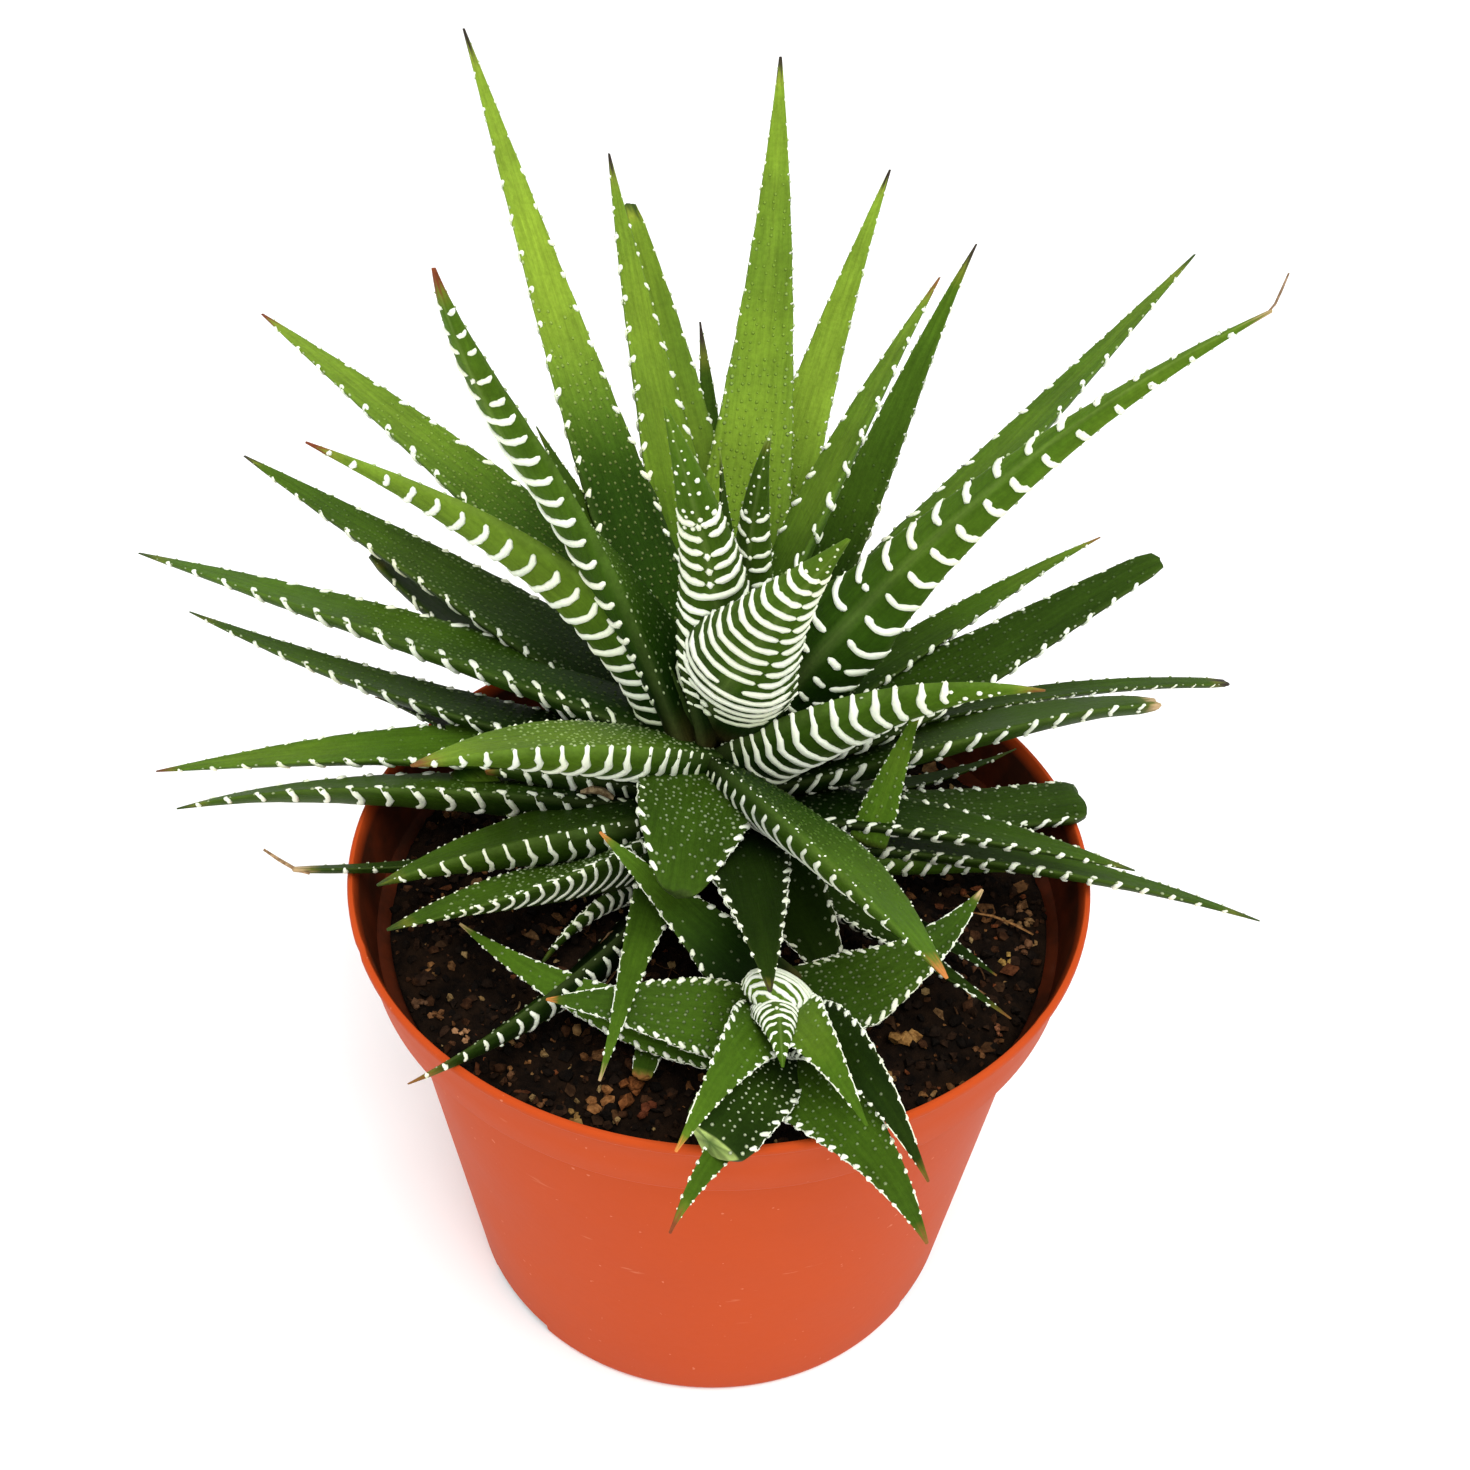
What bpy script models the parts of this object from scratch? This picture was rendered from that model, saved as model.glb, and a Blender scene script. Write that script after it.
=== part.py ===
"""Potted zebra haworthia: a round tapered nursery pot, its soil, two short stems
and the separate leaves of the big rosette and of the offset in front of it.

Metres, +Z up. The origin is the centre of the pot's underside, which is flat.
The leaves point every way, most of them up and out. -Y is the front.
"""
import math

import bpy
from mathutils import Vector
from mathutils.bvhtree import BVHTree

MM = 0.001
GAP = 0.30                      # clearance between pieces that meet, mm

# ---- driving dimensions, mm -------------------------------------------------
RIM_R = 60.0                    # outside radius of the lip
LIP_INNER_R = 58.4
POT_H = 90.5
COLLAR_H = 12.5                 # depth of the wider band under the lip
COLLAR_R = 57.9                 # outside of that band at its lower edge
LEDGE_H = 2.2                   # height of the sloped step under the band
WALL_TOP_R = 55.0               # outside of the wall under that step
BASE_R = 45.5
WALL = 1.6
FLOOR = 2.0
POT_SIDES = 60
DRAIN_AT = (96.0, 220.0, 332.0)  # headings of the cuts through the bottom corner
DRAIN_W = 17.0
DRAIN_H = 3.0

SOIL_Z = 78.0                   # level of the soil
SOIL_SWELL = 1.2                # how far the soil's surface wanders

MAIN_AXIS = (-2.0, 12.0)        # the big rosette's stem
MAIN_R = 5.0
MAIN_TOP = 113.0
PUP_AXIS = (9.0, -36.0)         # the offset's stem
PUP_R = 3.5
PUP_TOP = 96.0
SHOOT_AXIS = (26.0, 7.0)        # where one young leaf leaves the soil

LEAF_DEPTH = 0.42               # keel depth over blade width
WIDEST = 0.30                   # where along a leaf it is widest
TAPER = 1.3

# ---- leaves ------------------------------------------------------------------
# name: stem, base heading (deg), base height, tip (x, y, z), arch, bow, width,
#       roll (deg), width left at the end (1 = none lost, for broken tips)
# Arch lifts the middle of the leaf above the straight line, bow swings it to the
# right. All lengths in mm.
LEAVES = {
    # the big rosette: leaves at the back, reaching up
    "leaf_01": ("main", 130, 107, (-45, 79, 194), -2.0, 0.5, 13.0, 6, 0.05),
    "leaf_02": ("main", 100, 106, (-23, 85, 172), -3.0, 1.0, 14.0, 20, 0.05),
    "leaf_03": ("main", 96, 101, (-20, 90, 161), -1.0, 3.0, 11.0, -10, 0.30),
    "leaf_04": ("main", 90, 98, (-7, 88, 140), 0.0, 1.5, 8.0, -3, 0.10),
    "leaf_05": ("main", 82, 109, (6, 101, 184), 0.0, 2.0, 15.0, -6, 0.04),
    "leaf_06": ("main", 60, 104, (26, 88, 169), 0.0, -2.0, 12.0, -5, 0.05),
    "leaf_07": ("main", 50, 101, (40, 78, 161), -1.0, 0.0, 11.0, -7, 0.05),
    "leaf_08": ("main", 48, 107, (31, 46, 169), 9.0, 4.0, 13.0, -15, 0.05),
    "leaf_09": ("main", 34, 103, (79, 79, 161), 1.0, 0.5, 15.0, -13, 0.06),
    "leaf_10": ("main", -31, 104, (62, -16, 194), 4.5, -3.5, 15.0, -70, 0.05),
    # right side, lower
    "leaf_28": ("main", 42, 97, (64, 47, 122), 2.5, 1.5, 11.0, -7, 0.08),
    "leaf_29": ("main", 18, 100, (71, 33, 127), -1.5, 1.0, 14.0, 0, 0.30),
    "leaf_27": ("main", 18, 94, (88, 34, 101), 5.0, 0.5, 8.0, -30, 0.45),
    "leaf_26": ("main", -14, 94, (72, 20, 107), 4.0, 1.0, 13.0, -30, 0.35),
    "leaf_25": ("main", -36, 100, (45, -12, 134), 3.5, -2.5, 16.0, -15, 0.06),
    # centre, standing up
    "leaf_24": ("main", -72, 108, (15, -18, 162), 0.5, 1.5, 16.0, -50, 0.12),
    "leaf_30": ("main", -112, 110, (-9, -7, 174), 2.5, -2.5, 12.0, 30, 0.05),
    "leaf_33": ("main", -40, 110, (5, 2, 166), 1.5, -1.0, 10.0, -28, 0.06),
    "leaf_32": ("main", 93, 111, (-2, 17, 154), -0.5, 1.0, 6.0, -4, 0.06),
    # left side
    "leaf_11": ("main", 212, 109, (-36, -12, 194), 4.5, 8.0, 14.0, -11, 0.05),
    "leaf_12": ("main", 115, 104, (-83, 71, 147), 7.0, -2.0, 15.0, -1, 0.06),
    "leaf_13": ("main", 187, 104, (-62, 14, 155), 8.0, 0.0, 14.0, 14, 0.06),
    "leaf_14": ("main", 138, 100, (-87, 60, 125), 0.0, 1.5, 14.0, 7, 0.08),
    "leaf_15": ("main", 150, 96, (-63, 48, 113), -3.0, -1.5, 9.0, 15, 0.40),
    "leaf_16": ("main", 160, 102, (-104, 46, 113), 3.5, -1.5, 15.0, 10, 0.05),
    "leaf_17": ("main", 172, 97, (-95, 40, 105), 1.0, -2.5, 12.0, 12, 0.08),
    "leaf_18": ("main", 178, 93, (-95, 12, 91.5), 4.0, 2.0, 13.0, 8, 0.08),
    "leaf_19": ("main", 196, 89, (-89, 2, 93), 4.5, 0.5, 13.0, 18, 0.05),
    "leaf_20": ("main", 222, 102, (-44, -21, 124), 4.5, -1.0, 16.0, 7, 0.06),
    "leaf_21": ("main", 224, 91, (-52, -19, 98), 2.5, 1.5, 13.0, 22, 0.06),
    "leaf_22": ("main", 204, 85, (-65.5, -12, 93), 3.0, 0.0, 6.5, 10, 0.30),
    "leaf_23": ("main", 226, 85, (-48, -31, 101), 0.0, -1.0, 13.0, 18, 0.06),
    # front, bending down over the soil
    "leaf_34": ("main", -98, 98, (-6, -28, 107), 5.0, 0.5, 15.0, -15, 0.08),
    "leaf_35": ("main", -62, 98, (30, -48, 112), 6.0, 0.0, 14.0, -16, 0.06),
    "leaf_36": ("main", -80, 91, (7, -51, 110), 3.5, -1.0, 15.0, -9, 0.05),
    "leaf_42": ("main", -108, 89, (-16, -50, 92), 3.0, 0.5, 9.0, -14, 0.15),
    "leaf_43": ("main", -116, 81, (-42, -53, 94), 3.0, -3.0, 10.0, 30, 0.08),
    "leaf_37": ("main", -34, 84, (84, -16, 93), 5.0, -1.5, 10.0, -30, 0.05),
    "leaf_44": ("main", -16, 89, (64, -9, 99), 5.0, 2.0, 12.0, -22, 0.05),
    "leaf_38": ("main", 4, 89, (61, 13, 93), 2.0, 0.5, 12.0, -8, 0.75),
    "leaf_39": ("main", 28, 91, (52, 26, 92), 1.0, 1.0, 7.0, -20, 0.10),
    "leaf_40": ("shoot", 36, 80, (30, 9, 112), 0.5, 0.0, 4.5, 25, 0.20),
    "leaf_45": ("main", -52, 82, (44, -33, 88), 2.0, 0.0, 9.0, -19, 0.08),
    "leaf_46": ("main", -70, 85, (18, -27, 88), 4.0, -1.0, 12.0, 12, 0.20),
    # the offset at the front
    "offset_leaf_01": ("pup", 132, 90, (-19, -14, 106), 0.0, 0.0, 11.0, -25, 0.10),
    "offset_leaf_02": ("pup", 178, 86, (-25, -35, 91), 1.0, -1.0, 10.0, -30, 0.08),
    "offset_leaf_03": ("pup", 36, 89, (40, -17, 99), 1.0, 2.0, 12.0, 10, 0.08),
    "offset_leaf_04": ("pup", -122, 91, (-4, -69, 103), 4.0, -1.0, 8.0, -30, 0.10),
    "offset_leaf_05": ("pup", -66, 93, (20, -68, 107), 3.5, 0.5, 7.5, 30, 0.08),
    "offset_leaf_06": ("pup", -70, 85, (27, -80, 100), 2.0, -1.5, 9.0, 21, 0.08),
    "offset_leaf_07": ("pup", -44, 88, (27, -70, 99), 7.0, 0.0, 9.0, 25, 0.08),
    "offset_leaf_08": ("pup", -112, 87, (0, -65, 98), 2.0, -1.5, 12.0, -19, 0.80),
    "offset_leaf_09": ("pup", -96, 83, (-5, -76, 95), 4.5, -1.0, 7.0, -29, 0.12),
    "offset_leaf_10": ("pup", -112, 93, (9, -53, 98), 4.0, 0.0, 7.0, -60, 0.10),
    "offset_leaf_11": ("pup", -80, 95, (11, -46, 105), 5.0, 0.5, 12.0, -50, 0.12),
    "offset_leaf_13": ("pup", 160, 82, (-42, -14, 85.5), 2.0, -2.0, 9.0, -17, 0.08),
}


def material(name, rgb, rough, metallic=0.0):
    m = bpy.data.materials.new(name)
    m.use_nodes = True
    b = m.node_tree.nodes["Principled BSDF"]
    b.inputs["Base Color"].default_value = (*rgb, 1.0)
    b.inputs["Roughness"].default_value = rough
    b.inputs["Metallic"].default_value = metallic
    return m


def add_object(name, verts, faces, mat, smooth=True, scale=MM):
    me = bpy.data.meshes.new(name)
    me.from_pydata([tuple(c * scale for c in v) for v in verts], [], faces)
    me.update()
    me.materials.append(mat)
    if smooth:
        me.shade_smooth()
        me.set_sharp_from_angle(angle=math.radians(35))
    ob = bpy.data.objects.new(name, me)
    bpy.context.scene.collection.objects.link(ob)
    return ob


def turned(profile, sides, z_of=None):
    """Solid of revolution about Z. Profile runs from the axis, back to the axis."""
    verts, rings = [], []
    for r, z in profile:
        if r < 1e-6:
            rings.append([len(verts)])
            verts.append((0.0, 0.0, z_of(0.0, 0.0, z) if z_of else z))
            continue
        ring = []
        for i in range(sides):
            a = 2 * math.pi * i / sides
            x, y = r * math.cos(a), r * math.sin(a)
            ring.append(len(verts))
            verts.append((x, y, z_of(x, y, z) if z_of else z))
        rings.append(ring)
    faces = []
    for a, b in zip(rings, rings[1:]):
        for i in range(sides):
            j = (i + 1) % sides
            if len(a) == 1:
                faces.append((a[0], b[j], b[i]))
            elif len(b) == 1:
                faces.append((a[i], a[j], b[0]))
            else:
                faces.append((a[i], a[j], b[j], b[i]))
    return verts, faces


def smoothstep(a, b, x):
    t = min(max((x - a) / (b - a), 0.0), 1.0)
    return t * t * (3 - 2 * t)


def soil_height(x, y):
    """Soil surface: gentle swells, level where a stem or shoot comes through."""
    swell = (math.sin(x * 0.13 + 0.7) * math.cos(y * 0.11 - 0.4)
             + 0.6 * math.sin(x * 0.071 - y * 0.19 + 2.1)) * SOIL_SWELL * 0.62
    calm = 1.0
    for (cx, cy), r in ((MAIN_AXIS, MAIN_R), (PUP_AXIS, PUP_R), (SHOOT_AXIS, 2.5)):
        calm *= smoothstep(r + 2.0, r + 9.0, math.hypot(x - cx, y - cy))
    return SOIL_Z + swell * calm


def blade_width(t, end):
    """Width along the leaf as a share of its greatest width."""
    rise = min(t / WIDEST, 1.0)
    neck = 0.36 + 0.64 * rise * rise * (3 - 2 * rise)
    fall = max((t - WIDEST) / (1 - WIDEST), 0.0)
    return neck * (1 - (1 - end) * fall ** TAPER)


# half cross-section of a leaf: a nearly flat upper face over a keeled underside
SECTION = ((-1.0, 0.0), (-0.5, -0.05), (0.0, -0.06), (0.5, -0.05), (1.0, 0.0),
           (0.6, -0.52), (0.0, -0.78), (-0.6, -0.52))
STATIONS = (0.0, 0.10, 0.20, 0.30, 0.43, 0.57, 0.72, 0.87, 1.0)


def stem_radius(r, top, z):
    return r * (1.0 - 0.45 * smoothstep(top - 12.0, top, z))


class Leaf:
    def __init__(self, name, stem, heading, z0, tip, arch, bow, width, roll, end):
        self.name = name
        axis, r, top = {"main": (MAIN_AXIS, MAIN_R, MAIN_TOP),
                        "pup": (PUP_AXIS, PUP_R, PUP_TOP),
                        "shoot": (SHOOT_AXIS, 0.1, SOIL_Z + 99)}[stem]
        self.heading = math.radians(heading)
        self.foot = Vector((axis[0], axis[1], z0))
        self.stand_off = stem_radius(r, top, z0) + 0.45
        self.p2 = Vector(tip)
        self.arch, self.bow = arch, bow
        self.set_out()
        self.width = width
        self.roll = math.radians(roll)
        self.end = end
        self.fat = [1.0] * len(STATIONS)

    def set_out(self):
        """Base, tip and the bend between them, from the stand-off of the base."""
        self.p0 = self.foot + self.stand_off * Vector((math.cos(self.heading),
                                                       math.sin(self.heading), 0.0))
        chord = self.p2 - self.p0
        d = chord.normalized()
        side = Vector((d.y, -d.x, 0.0)).normalized()
        up = side.cross(d)
        self.p1 = self.p0 + chord / 2 + up * (2 * self.arch) + side * (2 * self.bow)

    def at(self, t):
        return self.p0 * (1 - t) ** 2 + self.p1 * (2 * t * (1 - t)) + self.p2 * t * t

    def frame(self, t):
        d = ((self.p1 - self.p0) * (1 - t) + (self.p2 - self.p1) * t).normalized()
        s = Vector((d.y, -d.x, 0.0)).normalized()
        n = s.cross(d)
        c, k = math.cos(self.roll), math.sin(self.roll)
        return d, s * c - n * k, n * c + s * k

    def mesh(self, grow=0.0):
        """Closed blade; grow swells it by that many mm for clearance tests."""
        verts, faces = [], []
        for i, t in enumerate(STATIONS):
            p = self.at(t)
            _, s, n = self.frame(t)
            w = self.width * blade_width(t, self.end) / 2 * self.fat[i]
            w = max(w, 0.55)
            h = max(w * 2 * LEAF_DEPTH, 0.9)
            for u, v in SECTION:
                q = p + s * (u * w) + n * (v * h + 0.3 * h)
                if grow:
                    out = s * u + n * (v + 0.35) * 1.6
                    q = q + out.normalized() * grow
                verts.append(tuple(q))
        k = len(SECTION)
        if grow:
            d0 = self.frame(0.0)[0]
            d1 = self.frame(1.0)[0]
            for i in range(k):
                verts[i] = tuple(Vector(verts[i]) - d0 * grow)
                verts[-1 - i] = tuple(Vector(verts[-1 - i]) + d1 * grow)
        for i in range(len(STATIONS) - 1):
            for j in range(k):
                a, b = i * k + j, i * k + (j + 1) % k
                faces.append((a, b, b + k, a + k))
        faces.append(tuple(range(k - 1, -1, -1)))
        m = (len(STATIONS) - 1) * k
        faces.append(tuple(range(m, m + k)))
        return verts, faces


def bounds(verts):
    return [min(v[i] for v in verts) for i in range(3)], [max(v[i] for v in verts) for i in range(3)]


def apart(a, b):
    return any(a[1][i] < b[0][i] or b[1][i] < a[0][i] for i in range(3))


def station_of(face, k=len(SECTION)):
    """Which stretch of the leaf a face lies on; the base's end face comes after the
    last stretch, then the tip's."""
    last = len(STATIONS) - 2
    return 0 if face == (last + 1) * k else min(face // k, last)


def slim_where_crowded(leaves, fixed):
    """Thin the blades, ring by ring, wherever two of them or a blade and a fixed
    piece come closer than GAP, as crowded leaf bases do."""
    names = list(leaves)
    for _ in range(60):
        data = {}
        for n in names:
            v, f = leaves[n].mesh(grow=GAP / 2 + 0.04)
            data[n] = (BVHTree.FromPolygons(v, f, epsilon=0.0), bounds(v))
        hits = {n: set() for n in names}
        touching = set()
        for i, n in enumerate(names):
            for m in names[i + 1:]:
                if apart(data[n][1], data[m][1]):
                    continue
                for fa, fb in data[n][0].overlap(data[m][0]):
                    hits[n].add(station_of(fa))
                    hits[m].add(station_of(fb))
            for tree, box in fixed:
                if apart(data[n][1], box):
                    continue
                for fa, _fb in data[n][0].overlap(tree):
                    if station_of(fa) == 0:
                        touching.add(n)
                    else:
                        hits[n].add(station_of(fa))
        if not any(hits.values()) and not touching:
            return True
        for n in touching:
            leaves[n].stand_off += 0.12
            leaves[n].set_out()
        for n in names:
            for s in hits[n]:
                for j in (s, s + 1):
                    leaves[n].fat[j] *= 0.95
    return False


for ob in list(bpy.data.objects):
    bpy.data.objects.remove(ob, do_unlink=True)

terracotta = material("pot_plastic", (0.62, 0.17, 0.06), 0.42)
peat = material("potting_soil", (0.035, 0.022, 0.014), 0.95)
stem_green = material("stem", (0.16, 0.20, 0.07), 0.7)
blade_green = material("leaf_green", (0.07, 0.17, 0.03), 0.45)

# ---- pot: one turned shell with cuts through its bottom corner ----------------
outer = [(0.0, 0.0), (BASE_R - 1.5, 0.0), (BASE_R, 1.5),
         (WALL_TOP_R, POT_H - COLLAR_H - LEDGE_H), (COLLAR_R, POT_H - COLLAR_H),
         (COLLAR_R + 1.0, POT_H - 2.4), (RIM_R, POT_H - 1.8), (RIM_R, POT_H - 0.6),
         (RIM_R - 0.6, POT_H), (LIP_INNER_R + 0.4, POT_H), (LIP_INNER_R, POT_H - 0.5),
         (COLLAR_R - WALL, POT_H - COLLAR_H + 0.4),
         (WALL_TOP_R - WALL, POT_H - COLLAR_H - LEDGE_H - 0.4), (BASE_R - WALL, FLOOR + 1.0),
         (BASE_R - WALL - 1.0, FLOOR), (0.0, FLOOR)]
verts, faces = turned(outer, POT_SIDES)
pot = add_object("pot", verts, faces, terracotta)
for i, heading in enumerate(DRAIN_AT):
    a = math.radians(heading)
    bpy.ops.mesh.primitive_cube_add(size=1.0)
    cut = bpy.context.object
    cut.name = "cut_drain_%d" % i
    cut.scale = (8.0 * MM, DRAIN_W * MM, 2 * DRAIN_H * MM)
    cut.location = ((BASE_R - 1.0) * MM * math.cos(a), (BASE_R - 1.0) * MM * math.sin(a), 0.0)
    cut.rotation_euler = (0.0, 0.0, a)
    cut.hide_render = True
    cut.display_type = 'WIRE'
    mod = pot.modifiers.new("drain_%d" % i, 'BOOLEAN')
    mod.operation = 'DIFFERENCE'
    mod.object = cut

# ---- soil: a plug that follows the inside of the pot --------------------------
def inner_radius(z):
    z0, z1 = FLOOR + 1.0, POT_H - COLLAR_H - LEDGE_H - 0.4
    return (BASE_R - WALL) + (WALL_TOP_R - BASE_R) * (z - z0) / (z1 - z0)


plug = [(0.0, DRAIN_H + 2.4), (inner_radius(DRAIN_H + 2.4) - 1.2, DRAIN_H + 2.4),
        (inner_radius(DRAIN_H + 3.6) - GAP - 0.1, DRAIN_H + 3.6),
        (inner_radius(SOIL_Z - 3.5) - GAP - 0.1, SOIL_Z - 3.5),
        (inner_radius(SOIL_Z - 3.5) - 0.1, SOIL_Z - 0.9),
        (48.0, SOIL_Z), (40.0, SOIL_Z), (32.0, SOIL_Z), (24.0, SOIL_Z), (16.0, SOIL_Z), (8.0, SOIL_Z), (0.0, SOIL_Z)]


def soil_z(x, y, z):
    if z > SOIL_Z - 0.5:
        return soil_height(x, y)
    if z > SOIL_Z - 1.5:
        return SOIL_Z - 1.6 + 0.5 * (soil_height(x, y) - SOIL_Z)
    return z


verts, faces = turned(plug, 40, soil_z)
soil = add_object("soil", verts, faces, peat)

# ---- stems ---------------------------------------------------------------------
STEM_SOLIDS = {}
for name, (cx, cy), r, top in (("main_stem", MAIN_AXIS, MAIN_R, MAIN_TOP),
                               ("offset_stem", PUP_AXIS, PUP_R, PUP_TOP)):
    low = SOIL_Z + GAP
    steps = [low, low + 8, top - 12, top - 8, top - 4, top]
    steps = sorted(set(z for z in steps if z >= low))
    prof = [(0.0, low)] + [(stem_radius(r, top, z), z) for z in steps] + [(0.0, top + 0.8)]
    verts, faces = turned(prof, 16)
    verts = [(x + cx, y + cy, z) for x, y, z in verts]
    add_object(name, verts, faces, stem_green)
    STEM_SOLIDS[name] = (verts, faces)

# ---- leaves ----------------------------------------------------------------------
leaves = {n: Leaf(n, *v) for n, v in LEAVES.items()}


def solid_tree(verts, faces):
    return BVHTree.FromPolygons(verts, faces, epsilon=0.0), bounds(verts)


pot_verts, pot_faces = turned(outer, POT_SIDES)
soil_verts, soil_faces = turned(plug, 40, soil_z)
fixed = [solid_tree(pot_verts, pot_faces), solid_tree(soil_verts, soil_faces)]
fixed += [solid_tree(*s) for s in STEM_SOLIDS.values()]
clear = slim_where_crowded(leaves, fixed)
print("leaves stand clear of each other:", clear)
for n, leaf in leaves.items():
    verts, faces = leaf.mesh()
    add_object(n, verts, faces, blade_green)
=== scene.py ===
"""Looks of the potted zebra haworthia.

Every leaf is a keeled blade on its own curve, with the raised white bands of its
underside, the teeth of its margins and the small bumps of its upper face as real
relief. The pot is thin moulded plastic, the soil is peat with bark and pumice.
Lengths in the tables are millimetres, in the same frame as the solids.
"""

import math
import random

import bpy
import numpy as np
from mathutils import Matrix, Vector, noise


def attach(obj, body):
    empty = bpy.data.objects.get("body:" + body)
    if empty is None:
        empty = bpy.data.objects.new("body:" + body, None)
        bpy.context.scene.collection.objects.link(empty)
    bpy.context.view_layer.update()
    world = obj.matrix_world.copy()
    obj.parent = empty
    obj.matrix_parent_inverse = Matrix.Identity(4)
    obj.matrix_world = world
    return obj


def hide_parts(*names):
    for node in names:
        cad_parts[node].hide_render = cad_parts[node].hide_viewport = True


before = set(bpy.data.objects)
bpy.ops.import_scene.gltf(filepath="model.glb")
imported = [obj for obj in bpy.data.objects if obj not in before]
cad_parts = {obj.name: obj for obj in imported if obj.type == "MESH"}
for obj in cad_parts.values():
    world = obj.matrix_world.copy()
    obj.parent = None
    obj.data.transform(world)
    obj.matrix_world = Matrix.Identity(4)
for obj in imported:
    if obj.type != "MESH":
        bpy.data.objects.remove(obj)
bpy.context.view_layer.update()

MM = 0.001

# ------------------------------------------------------------------ camera ----
# It looks down on the rim from the front at about 40 degrees.
EYE = Vector((0.0, -195.89, 277.08)) * MM
LOOK = Vector((0.00612, 0.76845, -0.63988)).normalized()
RIGHT = Vector((0.99949, 0.01530, 0.02793))
RIGHT = (RIGHT - LOOK * RIGHT.dot(LOOK)).normalized()
UP = RIGHT.cross(LOOK)
cam_data = bpy.data.cameras.new("camera")
cam_data.sensor_width = 36.0
cam_data.sensor_height = 36.0
cam_data.lens = 40.41
cam_data.clip_start = 0.01
cam_data.clip_end = 20.0
camera = bpy.data.objects.new("camera", cam_data)
bpy.context.scene.collection.objects.link(camera)
camera.matrix_world = Matrix(((RIGHT.x, UP.x, -LOOK.x, EYE.x),
                              (RIGHT.y, UP.y, -LOOK.y, EYE.y),
                              (RIGHT.z, UP.z, -LOOK.z, EYE.z),
                              (0.0, 0.0, 0.0, 1.0)))
bpy.context.scene.camera = camera

# -------------------------------------------------------- plant dimensions ----
MAIN_AXIS, MAIN_R, MAIN_TOP = (-2.0, 12.0), 5.0, 113.0
PUP_AXIS, PUP_R, PUP_TOP = (9.0, -36.0), 3.5, 96.0
SHOOT_AXIS = (26.0, 7.0)
SOIL_Z, SOIL_SWELL = 78.0, 1.2
STEMS = {"main": (MAIN_AXIS, MAIN_R, MAIN_TOP), "pup": (PUP_AXIS, PUP_R, PUP_TOP),
         "shoot": (SHOOT_AXIS, 0.1, 180.0), "soil": ((0.0, 0.0), 0.0, 180.0)}

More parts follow.
